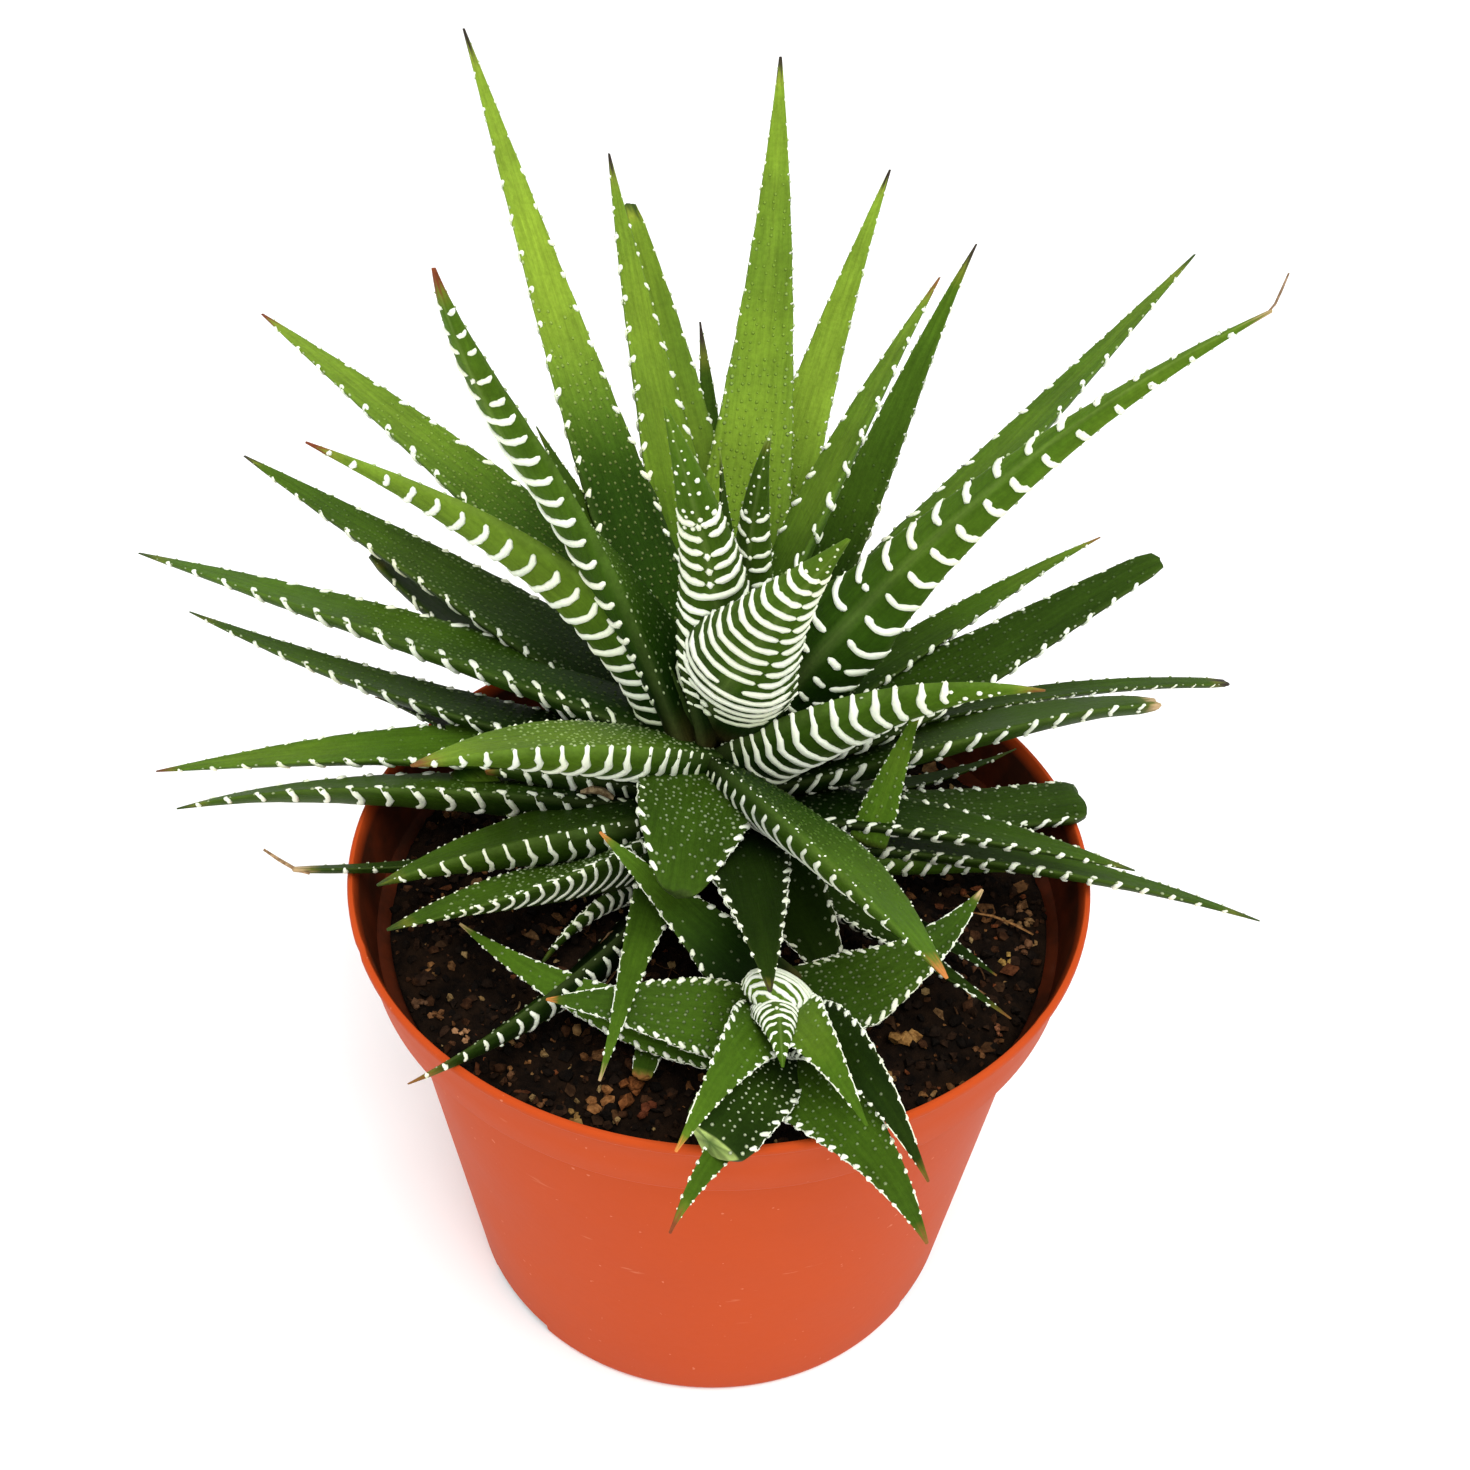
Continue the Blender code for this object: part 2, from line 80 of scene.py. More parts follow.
# name: stem, base heading (deg), base height, tip (x, y, z), arch, bow, width,
#       roll (deg), width left at the end
LEAVES = {
    "leaf_01": ("main", 130, 107, (-45, 79, 194), -2.0, 0.5, 13.0, 6, 0.05),
    "leaf_02": ("main", 100, 106, (-23, 85, 172), -3.0, 1.0, 14.0, 20, 0.05),
    "leaf_03": ("main", 96, 101, (-20, 90, 161), -1.0, 3.0, 11.0, -10, 0.30),
    "leaf_04": ("main", 90, 98, (-7, 88, 140), 0.0, 1.5, 8.0, -3, 0.10),
    "leaf_05": ("main", 82, 109, (6, 101, 184), 0.0, 2.0, 15.0, -6, 0.04),
    "leaf_06": ("main", 60, 104, (26, 88, 169), 0.0, -2.0, 12.0, -5, 0.05),
    "leaf_07": ("main", 50, 101, (40, 78, 161), -1.0, 0.0, 11.0, -7, 0.05),
    "leaf_08": ("main", 48, 107, (31, 46, 169), 9.0, 4.0, 13.0, -15, 0.05),
    "leaf_09": ("main", 34, 103, (79, 79, 161), 1.0, 0.5, 15.0, -13, 0.06),
    "leaf_10": ("main", -31, 104, (62, -16, 194), 4.5, -3.5, 15.0, -70, 0.05),
    "leaf_28": ("main", 42, 97, (64, 47, 122), 2.5, 1.5, 11.0, -7, 0.08),
    "leaf_29": ("main", 18, 100, (71, 33, 127), -1.5, 1.0, 14.0, 0, 0.30),
    "leaf_27": ("main", 18, 94, (88, 34, 101), 5.0, 0.5, 8.0, -30, 0.45),
    "leaf_26": ("main", -14, 94, (72, 20, 107), 4.0, 1.0, 13.0, -30, 0.35),
    "leaf_25": ("main", -36, 100, (45, -12, 134), 3.5, -2.5, 16.0, -15, 0.06),
    "leaf_24": ("main", -72, 108, (15, -18, 162), 0.5, 1.5, 16.0, -50, 0.12),
    "leaf_30": ("main", -112, 110, (-9, -7, 174), 2.5, -2.5, 12.0, 30, 0.05),
    "leaf_33": ("main", -40, 110, (5, 2, 166), 1.5, -1.0, 10.0, -28, 0.06),
    "leaf_32": ("main", 93, 111, (-2, 17, 154), -0.5, 1.0, 6.0, -4, 0.06),
    "leaf_11": ("main", 212, 109, (-36, -12, 194), 4.5, 8.0, 14.0, -11, 0.05),
    "leaf_12": ("main", 115, 104, (-83, 71, 147), 7.0, -2.0, 15.0, -1, 0.06),
    "leaf_13": ("main", 187, 104, (-62, 14, 155), 8.0, 0.0, 14.0, 14, 0.06),
    "leaf_14": ("main", 138, 100, (-87, 60, 125), 0.0, 1.5, 14.0, 7, 0.08),
    "leaf_15": ("main", 150, 96, (-63, 48, 113), -3.0, -1.5, 9.0, 15, 0.40),
    "leaf_16": ("main", 160, 102, (-104, 46, 113), 3.5, -1.5, 15.0, 10, 0.05),
    "leaf_17": ("main", 172, 97, (-95, 40, 105), 1.0, -2.5, 12.0, 12, 0.08),
    "leaf_18": ("main", 178, 93, (-95, 12, 91.5), 4.0, 2.0, 13.0, 8, 0.08),
    "leaf_19": ("main", 196, 89, (-89, 2, 93), 4.5, 0.5, 13.0, 18, 0.05),
    "leaf_20": ("main", 222, 102, (-44, -21, 124), 4.5, -1.0, 16.0, 7, 0.06),
    "leaf_21": ("main", 224, 91, (-52, -19, 98), 2.5, 1.5, 13.0, 22, 0.06),
    "leaf_22": ("main", 204, 85, (-65.5, -12, 93), 3.0, 0.0, 6.5, 10, 0.30),
    "leaf_23": ("main", 226, 85, (-48, -31, 101), 0.0, -1.0, 13.0, 18, 0.06),
    "leaf_34": ("main", -98, 98, (-6, -28, 107), 5.0, 0.5, 15.0, -15, 0.08),
    "leaf_35": ("main", -62, 98, (30, -48, 112), 6.0, 0.0, 14.0, -16, 0.06),
    "leaf_36": ("main", -80, 91, (7, -51, 110), 3.5, -1.0, 15.0, -9, 0.05),
    "leaf_42": ("main", -108, 89, (-16, -50, 92), 3.0, 0.5, 9.0, -14, 0.15),
    "leaf_43": ("main", -116, 81, (-42, -53, 94), 3.0, -3.0, 10.0, 30, 0.08),
    "leaf_37": ("main", -34, 84, (84, -16, 93), 5.0, -1.5, 10.0, -30, 0.05),
    "leaf_44": ("main", -16, 89, (64, -9, 99), 5.0, 2.0, 12.0, -22, 0.05),
    "leaf_38": ("main", 4, 89, (61, 13, 93), 2.0, 0.5, 12.0, -8, 0.75),
    "leaf_39": ("main", 28, 91, (52, 26, 92), 1.0, 1.0, 7.0, -20, 0.10),
    "leaf_40": ("shoot", 36, 80, (30, 9, 112), 0.5, 0.0, 4.5, 25, 0.20),
    "leaf_45": ("main", -52, 82, (44, -33, 88), 2.0, 0.0, 9.0, -19, 0.08),
    "leaf_46": ("main", -70, 85, (18, -27, 88), 4.0, -1.0, 12.0, 12, 0.20),
    "offset_leaf_01": ("pup", 132, 90, (-19, -14, 106), 0.0, 0.0, 11.0, -25, 0.10),
    "offset_leaf_02": ("pup", 178, 86, (-25, -35, 91), 1.0, -1.0, 10.0, -30, 0.08),
    "offset_leaf_03": ("pup", 36, 89, (40, -17, 99), 1.0, 2.0, 12.0, 10, 0.08),
    "offset_leaf_04": ("pup", -122, 91, (-4, -69, 103), 4.0, -1.0, 8.0, -30, 0.10),
    "offset_leaf_05": ("pup", -66, 93, (20, -68, 107), 3.5, 0.5, 7.5, 30, 0.08),
    "offset_leaf_06": ("pup", -70, 85, (27, -80, 100), 2.0, -1.5, 9.0, 21, 0.08),
    "offset_leaf_07": ("pup", -44, 88, (27, -70, 99), 7.0, 0.0, 9.0, 25, 0.08),
    "offset_leaf_08": ("pup", -112, 87, (0, -65, 98), 2.0, -1.5, 12.0, -19, 0.80),
    "offset_leaf_09": ("pup", -96, 83, (-5, -76, 95), 4.5, -1.0, 7.0, -29, 0.12),
    "offset_leaf_10": ("pup", -112, 93, (9, -53, 98), 4.0, 0.0, 7.0, -60, 0.10),
    "offset_leaf_11": ("pup", -80, 95, (11, -46, 105), 5.0, 0.5, 12.0, -50, 0.12),
    "offset_leaf_13": ("pup", 160, 82, (-42, -14, 85.5), 2.0, -2.0, 9.0, -17, 0.08),
}

# How each leaf looks: tone 0 deep green to 1 yellow green, how much darker the whole leaf is
# painted as shade where it sits deep in shadow, how much darker its foot is painted as shade and
# over which stretch, the bands' style, spacing and breadth (mm), how far they wrap over the margin, how
# thick the upper face is sown with bumps and how far along, what its tip dried to and
# over which share of it, how it tapers and how round or keeled its underside is.
PLAIN = dict(tone=0.4, dark=1.0, painted_foot_shade=0.30, foot_from=0.08, foot_to=0.50,
             to_tip=0.20, split=None, trim=1.0, slant=0.0, style="flank", gap=0.14, spacing=4.6,
             wrap=0.10, band=1.05, dots=1.0, dots_to=0.60, dot_white=0.04, rim=0.0, tip="brown", dry=0.03,
             teeth=0.85, tooth_white=0.22, broken=0.3, taper=1.25, keel=0.55, depth=0.66, twist=0.0,
             shape="point", s_up=0.0, s_side=0.0, far=0.965)
SMALL = dict(spacing=2.6, band=0.85, teeth=0.85, tooth_white=0.90, dot_white=0.14, rim=0.2,
             dots=1.6, dots_to=0.9, wrap=0.14, keel=0.45, taper=1.15, to_tip=0.0)
LOOK_OF = {
    "leaf_01": dict(tone=0.82, spacing=5.6, wrap=0.16, dots=1.3, dots_to=0.6, tip="dark", dry=0.03,
                    roll=14, taper=1.05, bow=-0.5, to_tip=0.10, painted_foot_shade=0.14,
                    tip_at=(-45.3, 78.4, 193.8), width=14.0, foot_from=0.32, foot_to=0.6, dot_white=0.06,
                    s_side=-0.35),
    "leaf_02": dict(tone=0.64, spacing=5.0, wrap=0.20, tip="dark", dots_to=0.40, roll=28, taper=1.2,
                    to_tip=0.1, tooth_white=0.6, s_side=0.3),
    "leaf_03": dict(tone=0.6, spacing=5.0, tip="dull", dry=0.02, dots=0.5, dark=0.95, bow=4.4, width=10.8,
                    tip_at=(-20.2, 89.6, 161.5), arch=-0.5, s_side=0.6),
    "leaf_04": dict(tone=0.12, tip="dark", dry=0.06, dark=0.75, to_tip=0.5),
    "leaf_05": dict(tone=0.66, dots=1.35, dots_to=0.82, dot_white=0.02, tip="dark", dry=0.025, wrap=0.04,
                    taper=0.98, bow=2.1, width=15.2, painted_foot_shade=0.5, to_tip=0.08, foot_to=0.45),
    "leaf_06": dict(tone=0.76, dots=1.1, dots_to=0.55, tip="dark", dry=0.025, wrap=0.05, taper=1.05,
                    bow=-2.0, width=12.6, tip_at=(25.6, 87.4, 169.9), to_tip=0.08, painted_foot_shade=0.28,
                    arch=-0.5, foot_from=0.22, foot_to=0.58),
    "leaf_07": dict(tone=0.24, dots=0.7, tip="dark", dry=0.04, wrap=0.04, dark=0.85, to_tip=0.7,
                    tip_at=(40.8, 78, 161), arch=-2.0, bow=0.9, s_side=0.8, s_up=-0.3, width=10.4,
                    painted_foot_shade=0.2),
    "leaf_08": dict(tone=0.56, spacing=5.2, wrap=0.26, dots=0.9, dots_to=0.35, roll=-26, taper=1.1,
                    bow=4.0, painted_foot_shade=0.2, tooth_white=0.5, foot_from=0.15, foot_to=0.55, arch=9.2),
    "leaf_09": dict(tone=0.5, spacing=6.2, wrap=0.22, dots=0.4, dots_to=0.4, roll=-22, taper=1.15, bow=1.6,
                    tip_at=(79, 79, 160), painted_foot_shade=0.35, tip="dull", arch=1.6),
    "leaf_10": dict(tone=0.54, gap=0.20, spacing=5.4, band=1.25, wrap=0.02, dots=0.2, tip="tan", dry=0.012,
                    broken=0.12, taper=0.66, keel=0.80, end=0.05, width=14.2, roll=-94, twist=-38,
                    painted_foot_shade=0.2, foot_from=0.12, foot_to=0.55, bow=-2.0, s_up=-0.5),
    "leaf_28": dict(tone=0.28, dots=0.5, dark=0.8, width=10.0, taper=1.1, arch=2.6, to_tip=0.8, bow=2.1,
                    s_side=0.3, s_up=-0.3, painted_foot_shade=0.16),
    "leaf_29": dict(tone=0.12, dots=1.3, dots_to=0.95, tip="dull", dry=0.0, dark=0.8, width=17.0, bow=2.6,
                    tooth_white=0.4, taper=1.0, arch=-2.4, s_side=0.6, s_up=-0.6),
    "leaf_27": dict(tone=0.22, spacing=3.6, band=0.5, broken=0.9, tip="dark", dry=0.02, dark=0.85,
                    roll=-14, width=6.5, dots=0.0, arch=5.8, bow=0.1),
    "leaf_26": dict(tone=0.34, spacing=4.6, broken=0.8, tip="tan", dry=0.02, wrap=0.06, roll=-23,
                    width=14.5, painted_foot_shade=0.3, dark=0.65, tooth_white=0.5, arch=3.0, bow=1.5, s_side=0.6,
                    s_up=-0.6),
    "leaf_25": dict(tone=0.42, style="ring", spacing=3.5, band=1.30, wrap=0.0, dots_to=0.85, dots=1.4,
                    dot_white=0.16, tip="brown", dry=0.03, broken=0.04, roll=-35, keel=0.15, depth=0.80,
                    far=0.80, tooth_white=0.5, to_tip=0.5, arch=4.0, width=16.8, bow=-0.6, s_up=-0.7,
                    slant=0.0),
    "leaf_24": dict(tone=0.46, style="ring", spacing=2.9, band=1.3, wrap=0.0, tip="none", dry=0.0,
                    broken=0.10, keel=0.05, depth=0.62, width=18.5, taper=0.85, far=0.86, end=0.05,
                    dark=0.95, split=(0.32, -0.5), to_tip=0.35, stop=1.6, bow=2.2, foot=(-1.2, 8.0, 113.2),
                    slant=-0.12),
    "leaf_30": dict(tone=0.38, style="ring", spacing=2.95, band=1.25, wrap=0.0, broken=0.22, tip="none",
                    dry=0.0, keel=0.10, taper=1.1, far=0.68, to_tip=0.5, arch=3.2, s_side=-0.4, s_up=0.3),
    "leaf_33": dict(tone=0.42, style="ring", spacing=2.9, band=0.90, broken=0.95, tip="none", dark=0.75,
                    width=8.5, far=0.75, s_side=-0.6, s_up=-0.3),
    "leaf_32": dict(tone=0.1, style="ring", spacing=2.6, band=0.7, tip="none"),
    "leaf_11": dict(tone=0.50, style="ring", spacing=4.2, band=1.25, wrap=-0.02, dots=0.8, tip="red",
                    dry=0.035, broken=0.05, keel=0.10, taper=0.8, painted_foot_shade=0.16, width=15.2, arch=1.2,
                    bow=12.0, s_up=1.0, roll=6, foot_to=0.5, trim=0.9, slant=0.14),
    "leaf_12": dict(tone=0.66, spacing=6.0, band=1.15, wrap=0.20, dots=1.6, dots_to=0.72, tip="red",
                    dry=0.025, roll=8, width=15.4, taper=1.3, painted_foot_shade=0.25, to_tip=0.1, foot_from=0.34,
                    foot_to=0.7, s_side=0.38, s_up=0.3),
    "leaf_13": dict(tone=0.7, style="ring", spacing=3.9, band=1.25, wrap=-0.04, dots=0.4, tip="red",
                    dry=0.035, broken=0.08, roll=44, width=16.0, depth=0.84, keel=0.20, taper=1.10,
                    arch=7.0, s_up=1.2, painted_foot_shade=0.2, dark=0.95, bow=3.6, foot_from=0.1, foot_to=0.52,
                    trim=0.92, slant=0.24),
    "leaf_14": dict(tone=0.24, spacing=5.6, dots=1.8, dots_to=0.85, tip="dark", dry=0.02, dark=0.85,
                    roll=10, width=15.5, taper=1.5, to_tip=0.45, arch=-0.5, foot_to=0.6, s_side=0.2,
                    s_up=0.2),
    "leaf_15": dict(tone=0.06, tip="dull", dry=0.03, dark=0.8, roll=25, width=13.0),
    "leaf_16": dict(tone=0.36, spacing=6.0, band=1.2, wrap=0.20, dots=1.3, dots_to=0.66, tip="dull",
                    roll=18, width=16.0, taper=1.4, arch=3.4, s_up=0.2),
    "leaf_17": dict(tone=0.22, spacing=5.2, wrap=0.14, tip="dull", dark=0.85, roll=19, width=12.2,
                    taper=1.4, dots_to=0.85, arch=-0.6, to_tip=0.45, bow=-2.8, painted_foot_shade=0.2, foot_to=0.6),
    "leaf_18": dict(tone=0.44, spacing=5.6, wrap=0.10, dots=0.5, tip="red", dry=0.02, roll=10, width=14.0,
                    taper=1.4, arch=4.5, s_side=0.38, s_up=0.45, tip_at=(-95.5, 12.2, 91.9)),
    "leaf_19": dict(tone=0.26, spacing=4.8, band=1.15, wrap=0.16, dots=0.9, tip="dull", roll=30,
                    width=17.0, taper=1.25, dark=0.9, arch=3.6, painted_foot_shade=0.12, to_tip=0.4, s_up=-0.5,
                    s_side=-0.5),
    "leaf_20": dict(tone=0.60, style="ring", spacing=3.6, band=1.25, wrap=0.0, dots=1.4, dots_to=0.85,
                    dot_white=0.14, tip="brown", dry=0.04, broken=0.04, roll=17, keel=0.2, width=17.5,
                    depth=0.78, taper=1.5, to_tip=0.1, foot_to=0.55, painted_foot_shade=0.28, arch=3.8, s_up=-0.3),
    "leaf_21": dict(tone=0.24, style="ring", spacing=3.1, band=0.85, wrap=0.0, dots=0.5, tip="dull",
                    dark=0.9, roll=26, width=18.0, depth=0.86, keel=0.2, tooth_white=0.7, taper=1.4,
                    arch=2.4, to_tip=0.4, painted_foot_shade=0.20, bow=0.0, s_up=-0.4),
    "leaf_22": dict(tone=0.10, style="ring", spacing=4.6, band=1.0, wrap=0.05, dots=0.0, tip="tan",
                    dry=0.03, dark=0.75, roll=30, arch=-1.0, bow=-1.6, tip_at=(-67.2, -11.6, 93.5)),
    "leaf_23": dict(tone=0.2, style="flank", gap=0.06, spacing=2.3, band=0.72, dots=1.4, dots_to=0.9,
                    dot_white=0.14, tip="dull", roll=60, twist=-56, width=16.5, depth=0.78, keel=0.7,
                    tooth_white=0.9, broken=0.05, arch=2.0, painted_foot_shade=0.6, bow=-2.2, s_up=-0.4),
    "leaf_34": dict(tone=0.2, dots=1.7, dots_to=0.95, dot_white=0.20, rim=0.2, spacing=3.2, tip="dull",
                    tooth_white=0.6, width=19.5, taper=2.0, to_tip=-0.05, painted_foot_shade=0.6, end=0.3, dry=0.0,
                    teeth=0.6, arch=4.0),
    "leaf_35": dict(tone=0.36, style="ring", spacing=3.2, band=0.8, wrap=0.04, dots=1.2, dots_to=0.8,
                    tip="orange", dry=0.03, broken=0.1, roll=-46, tooth_white=0.8, width=17.8, taper=1.6,
                    keel=0.3, to_tip=0.18, painted_foot_shade=0.15, dot_white=0.02, teeth=0.6, foot_to=0.6,
                    arch=4.6, bow=0.4, s_up=-0.4, tip_at=(30.5, -47.5, 112.6), twist=22),
    "leaf_36": dict(tone=0.0, rim=0.15, dots=0.5, spacing=3.2, tip="dark", dry=0.015, dark=0.5,
                    tooth_white=0.6, width=17.0, taper=1.1, painted_foot_shade=0.12, to_tip=0.3, teeth=0.6,
                    arch=3.0, tip_at=(7.0, -49.8, 111.5)),
    "leaf_42": dict(tone=0.3, rim=0.2, dots=0.1, spacing=3.2, tip="tan", dry=0.02, teeth=0.7,
                    tooth_white=0.8, taper=0.85, end=0.10, to_tip=0.45, painted_foot_shade=0.12, dark=0.85,
                    foot_to=0.65, arch=4.2, bow=1.2, s_side=0.5),
    "leaf_43": dict(tone=0.04, style="ring", spacing=3.0, band=0.95, wrap=-0.04, dots=0.0, tip="brown",
                    dry=0.04, dark=0.75, keel=0.2, roll=52, arch=-2.6, width=12.0, depth=0.8, bow=-2.1,
                    painted_foot_shade=0.14, foot_to=0.75, foot_from=0.3),
    "leaf_37": dict(tone=0.20, spacing=3.9, band=0.95, wrap=0.16, tip="dull", dark=0.85, roll=-20,
                    width=12.0, painted_foot_shade=0.12, to_tip=0.4, arch=3.4, s_up=-0.2),
    "leaf_44": dict(tone=0.14, spacing=3.5, band=0.95, wrap=0.16, dots=1.0, dots_to=0.8, tip="dull",
                    dark=0.8, roll=-14, width=13.5, painted_foot_shade=0.15, to_tip=0.4, foot_to=0.65,
                    tip_at=(64.7, -10.3, 97.5)),
    "leaf_38": dict(tone=0.14, spacing=3.0, dots=1.4, dots_to=1.0, dot_white=0.08, tip="dull", dry=0.0,
                    teeth=1.0, tooth_white=0.7, dark=0.75, end=0.90, width=12.5, arch=-1.2, bow=2.0,
                    tip_at=(60.7, 11.7, 91.7)),
    "leaf_39": dict(tone=0.12, spacing=3.2, tip="dull", dots=0.6, dark=0.7, tooth_white=0.6, arch=-2.8,
                    bow=2.6, tip_at=(51.1, 25.6, 91.5)),
    "leaf_40": dict(SMALL, tone=0.5, spacing=2.4, band=0.55, dots=1.0, dots_to=1.0, tip="brown", dry=0.03,
                    teeth=0.75, rim=0.0, width=5.8, taper=1.0, end=0.16, painted_foot_shade=1.0,
                    tip_at=(29.9, 4.4, 115.8), foot=(23.4, -3.5, 95.5)),
    "leaf_45": dict(SMALL, tone=0.06, tip="brown", dry=0.03, dots=0.8, dark=0.7),
    "leaf_46": dict(SMALL, tone=0.08, dots=0.7, tip="brown", dry=0.02, dark=0.5, width=15.0, taper=1.6,
                    painted_foot_shade=0.25, rim=0.6),
    "offset_leaf_01": dict(SMALL, tone=0.34, dots=0.5, dots_to=0.5, tip="orange", dry=0.035, taper=0.80,
                           rim=0.1, dark=0.9, painted_foot_shade=0.12, to_tip=0.30, width=9.8, teeth=0.6,
                           foot_from=0.15, foot_to=0.72, foot=(8.3, -31.8, 90.0),
                           tip_at=(-18.4, -14.2, 105.9)),
    "offset_leaf_02": dict(SMALL, tone=0.24, dots=2.1, dots_to=0.97, tip="orange", dry=0.03, taper=0.95,
                           spacing=2.2, width=11.2, painted_foot_shade=0.85, to_tip=-0.15, foot=(5.2, -36.0, 87.6),
                           tip_at=(-25.0, -35.0, 91.5), arch=2.4),
    "offset_leaf_03": dict(SMALL, tone=0.21, dots=2.0, dots_to=0.95, tip="tan", dry=0.03, rim=0.6,
                           taper=0.80, width=13.0, painted_foot_shade=0.8, dark=0.93, arch=-0.6, bow=3.2),
    "offset_leaf_04": dict(SMALL, tone=0.42, dots=0.7, dots_to=0.7, tip="orange", dry=0.03, taper=0.95,
                           rim=0.3, painted_foot_shade=0.8, width=9.0, tip_at=(-4.6, -69, 102.4), arch=5.4),
    "offset_leaf_05": dict(SMALL, tone=0.52, dots=0.5, tip="none", dry=0.0, rim=0.3, taper=0.95,
                           to_tip=-0.2, painted_foot_shade=1.0, width=8.4, tip_at=(19.4, -67.6, 107), arch=4.6,
                           bow=0.8),
    "offset_leaf_06": dict(SMALL, tone=0.32, dots=1.5, dots_to=0.85, tip="brown", dry=0.02, rim=0.2,
                           width=12.4, painted_foot_shade=0.9, taper=1.1, bow=0.4, tip_at=(26.8, -79.7, 100.0),
                           to_tip=-0.2, arch=3.6, s_side=0.4, s_up=-0.5),
    "offset_leaf_07": dict(SMALL, tone=0.03, dots=0.4, tip="brown", dry=0.02, rim=0.8, dark=0.7, roll=40,
                           painted_foot_shade=0.5, bow=0.2, tip_at=(27.7, -70.4, 99.6), arch=9.0),
    "offset_leaf_08": dict(SMALL, tone=0.05, dots=1.9, dots_to=1.0, dot_white=0.45, tip="cut", dry=0.0,
                           rim=0.5, dark=0.8, tip_at=(-0.4, -63.8, 97.3), width=12.4, painted_foot_shade=0.8,
                           bow=-2.1),
    "offset_leaf_09": dict(SMALL, tone=0.34, dots=0.4, tip="red", dry=0.05, rim=0.0, teeth=0.8, arch=3.9,
                           bow=-1.5, s_side=-0.6, s_up=-0.3),
    "offset_leaf_10": dict(SMALL, tone=0.46, style="ring", spacing=1.30, band=0.62, wrap=0.0, dots=0.0,
                           rim=0.2, tip="none", dry=0.0, roll=180, width=7.4, broken=0.70, keel=0.2,
                           taper=1.5, stop=0.8, tip_at=(9.1, -55.0, 102.4), painted_foot_shade=1.0),
    "offset_leaf_11": dict(SMALL, tone=0.62, style="ring", spacing=0.92, band=0.80, wrap=0.0, dots=0.0,
                           rim=0.0, tip="none", dry=0.0, broken=0.0, roll=180, width=12.0, keel=0.0,
                           depth=0.55, shape="round", teeth=0.0, stop=0.35, painted_foot_shade=1.0,
                           foot=(10.6, -37.4, 97.0), tip_at=(7.0, -43.2, 100.2), arch=1.6, bow=0.3),
    "offset_leaf_13": dict(SMALL, tone=0.42, dots=0.6, tip="tan", dry=0.025, rim=0.2, taper=0.95,
                           painted_foot_shade=0.6, arch=0.0, bow=-3.6, tip_at=(-40.4, -17.6, 88.6),
                           foot=(5.5, -37.7, 84.6)),
}

# Small leaves with no node of their own: the foot takes the place of the stem.
EXTRA = {
    "low_leaf_01": ((-60.6, 26.4, 98.0), 0.8, 0.5, 6.0, 20, 0.10,
                    dict(foot=(-40.0, 18.0, 94.0), tone=0.05, dark=0.6, dots=0.4)),
    "low_leaf_02": ((-31.0, 33.0, 148.0), -0.5, 0.0, 7.5, 10, 0.10,
                    dict(foot=(-14.0, 26.0, 118.0), tone=0.22, dark=0.8, dots=0.6, tip="dull")),
    "low_leaf_03": ((-39.0, 8.0, 98.0), 1.5, 0.0, 10.5, 36, 0.15,
                    dict(foot=(-12.0, 9.0, 93.0), tone=0.10, dark=0.8, style="ring", spacing=3.4,
                         dots=0.6, depth=0.8, keel=0.2)),
    "low_leaf_04": ((-33.0, 3.4, 91.0), 1.0, 0.0, 5.0, 10, 0.30,
                    dict(foot=(-44.0, 13.0, 94.0), tone=0.62, dots=0.4, spacing=3.0, tip="dull")),
    "low_leaf_05": ((-27.5, -20.5, 83.5), 2.2, 1.0, 7.5, 60, 0.15,
                    dict(SMALL, foot=(-13.0, -2.0, 81.5), tone=0.22, dark=0.8, style="ring",
                         spacing=2.3, dots=0.0, tip="dull", keel=0.2)),
    "low_leaf_06": ((-10.8, -41.5, 81.6), 1.2, 0.0, 5.6, 0, 0.50,
                    dict(SMALL, foot=(-8.0, -28.0, 81.0), tone=0.16, dark=0.75, tip="brown", dry=0.05)),
    "low_leaf_07": ((44.0, -19.6, 82.6), 0.6, 0.0, 3.2, 0, 0.10,
                    dict(SMALL, foot=(31.0, -10.5, 84.0), tone=0.02, dark=0.6, dots=0.0, rim=0.0)),
    "low_leaf_08": ((48.5, -1.0, 87.5), 1.8, 0.5, 9.5, -34, 0.12,
                    dict(foot=(14.0, 3.0, 84.5), tone=0.34, dark=0.9, style="ring", spacing=3.0,
                         dots=0.4, depth=0.8, keel=0.2, band=0.95)),
}

TIP_RGB = {"dark": (0.030, 0.022, 0.018), "brown": (0.17, 0.075, 0.022), "red": (0.16, 0.040, 0.018),
           "orange": (0.46, 0.17, 0.045), "tan": (0.42, 0.29, 0.15), "dull": (0.035, 0.060, 0.012),
           "none": (0.2, 0.3, 0.05), "cut": (0.30, 0.42, 0.16)}
DEEP = np.array((0.0110, 0.0262, 0.0034))
MID = np.array((0.0540, 0.1150, 0.0078))
FRESH = np.array((0.2150, 0.3250, 0.0300))
WHITE = np.array((0.850, 0.900, 0.760))
PALE = np.array((0.380, 0.500, 0.150))


def smooth(a, b, x):
    u = np.clip((np.asarray(x, float) - a) / (b - a), 0.0, 1.0)
    return u * u * (3 - 2 * u)


def green(level):
    """Leaf colour from deep (0) through mid (0.5) to fresh (1)."""
    level = np.clip(np.asarray(level, float), 0.0, 1.0)[..., None]
    low = DEEP + (MID - DEEP) * np.minimum(level * 2, 1.0)
    return low + (FRESH - MID) * np.clip(level * 2 - 1, 0.0, 1.0)


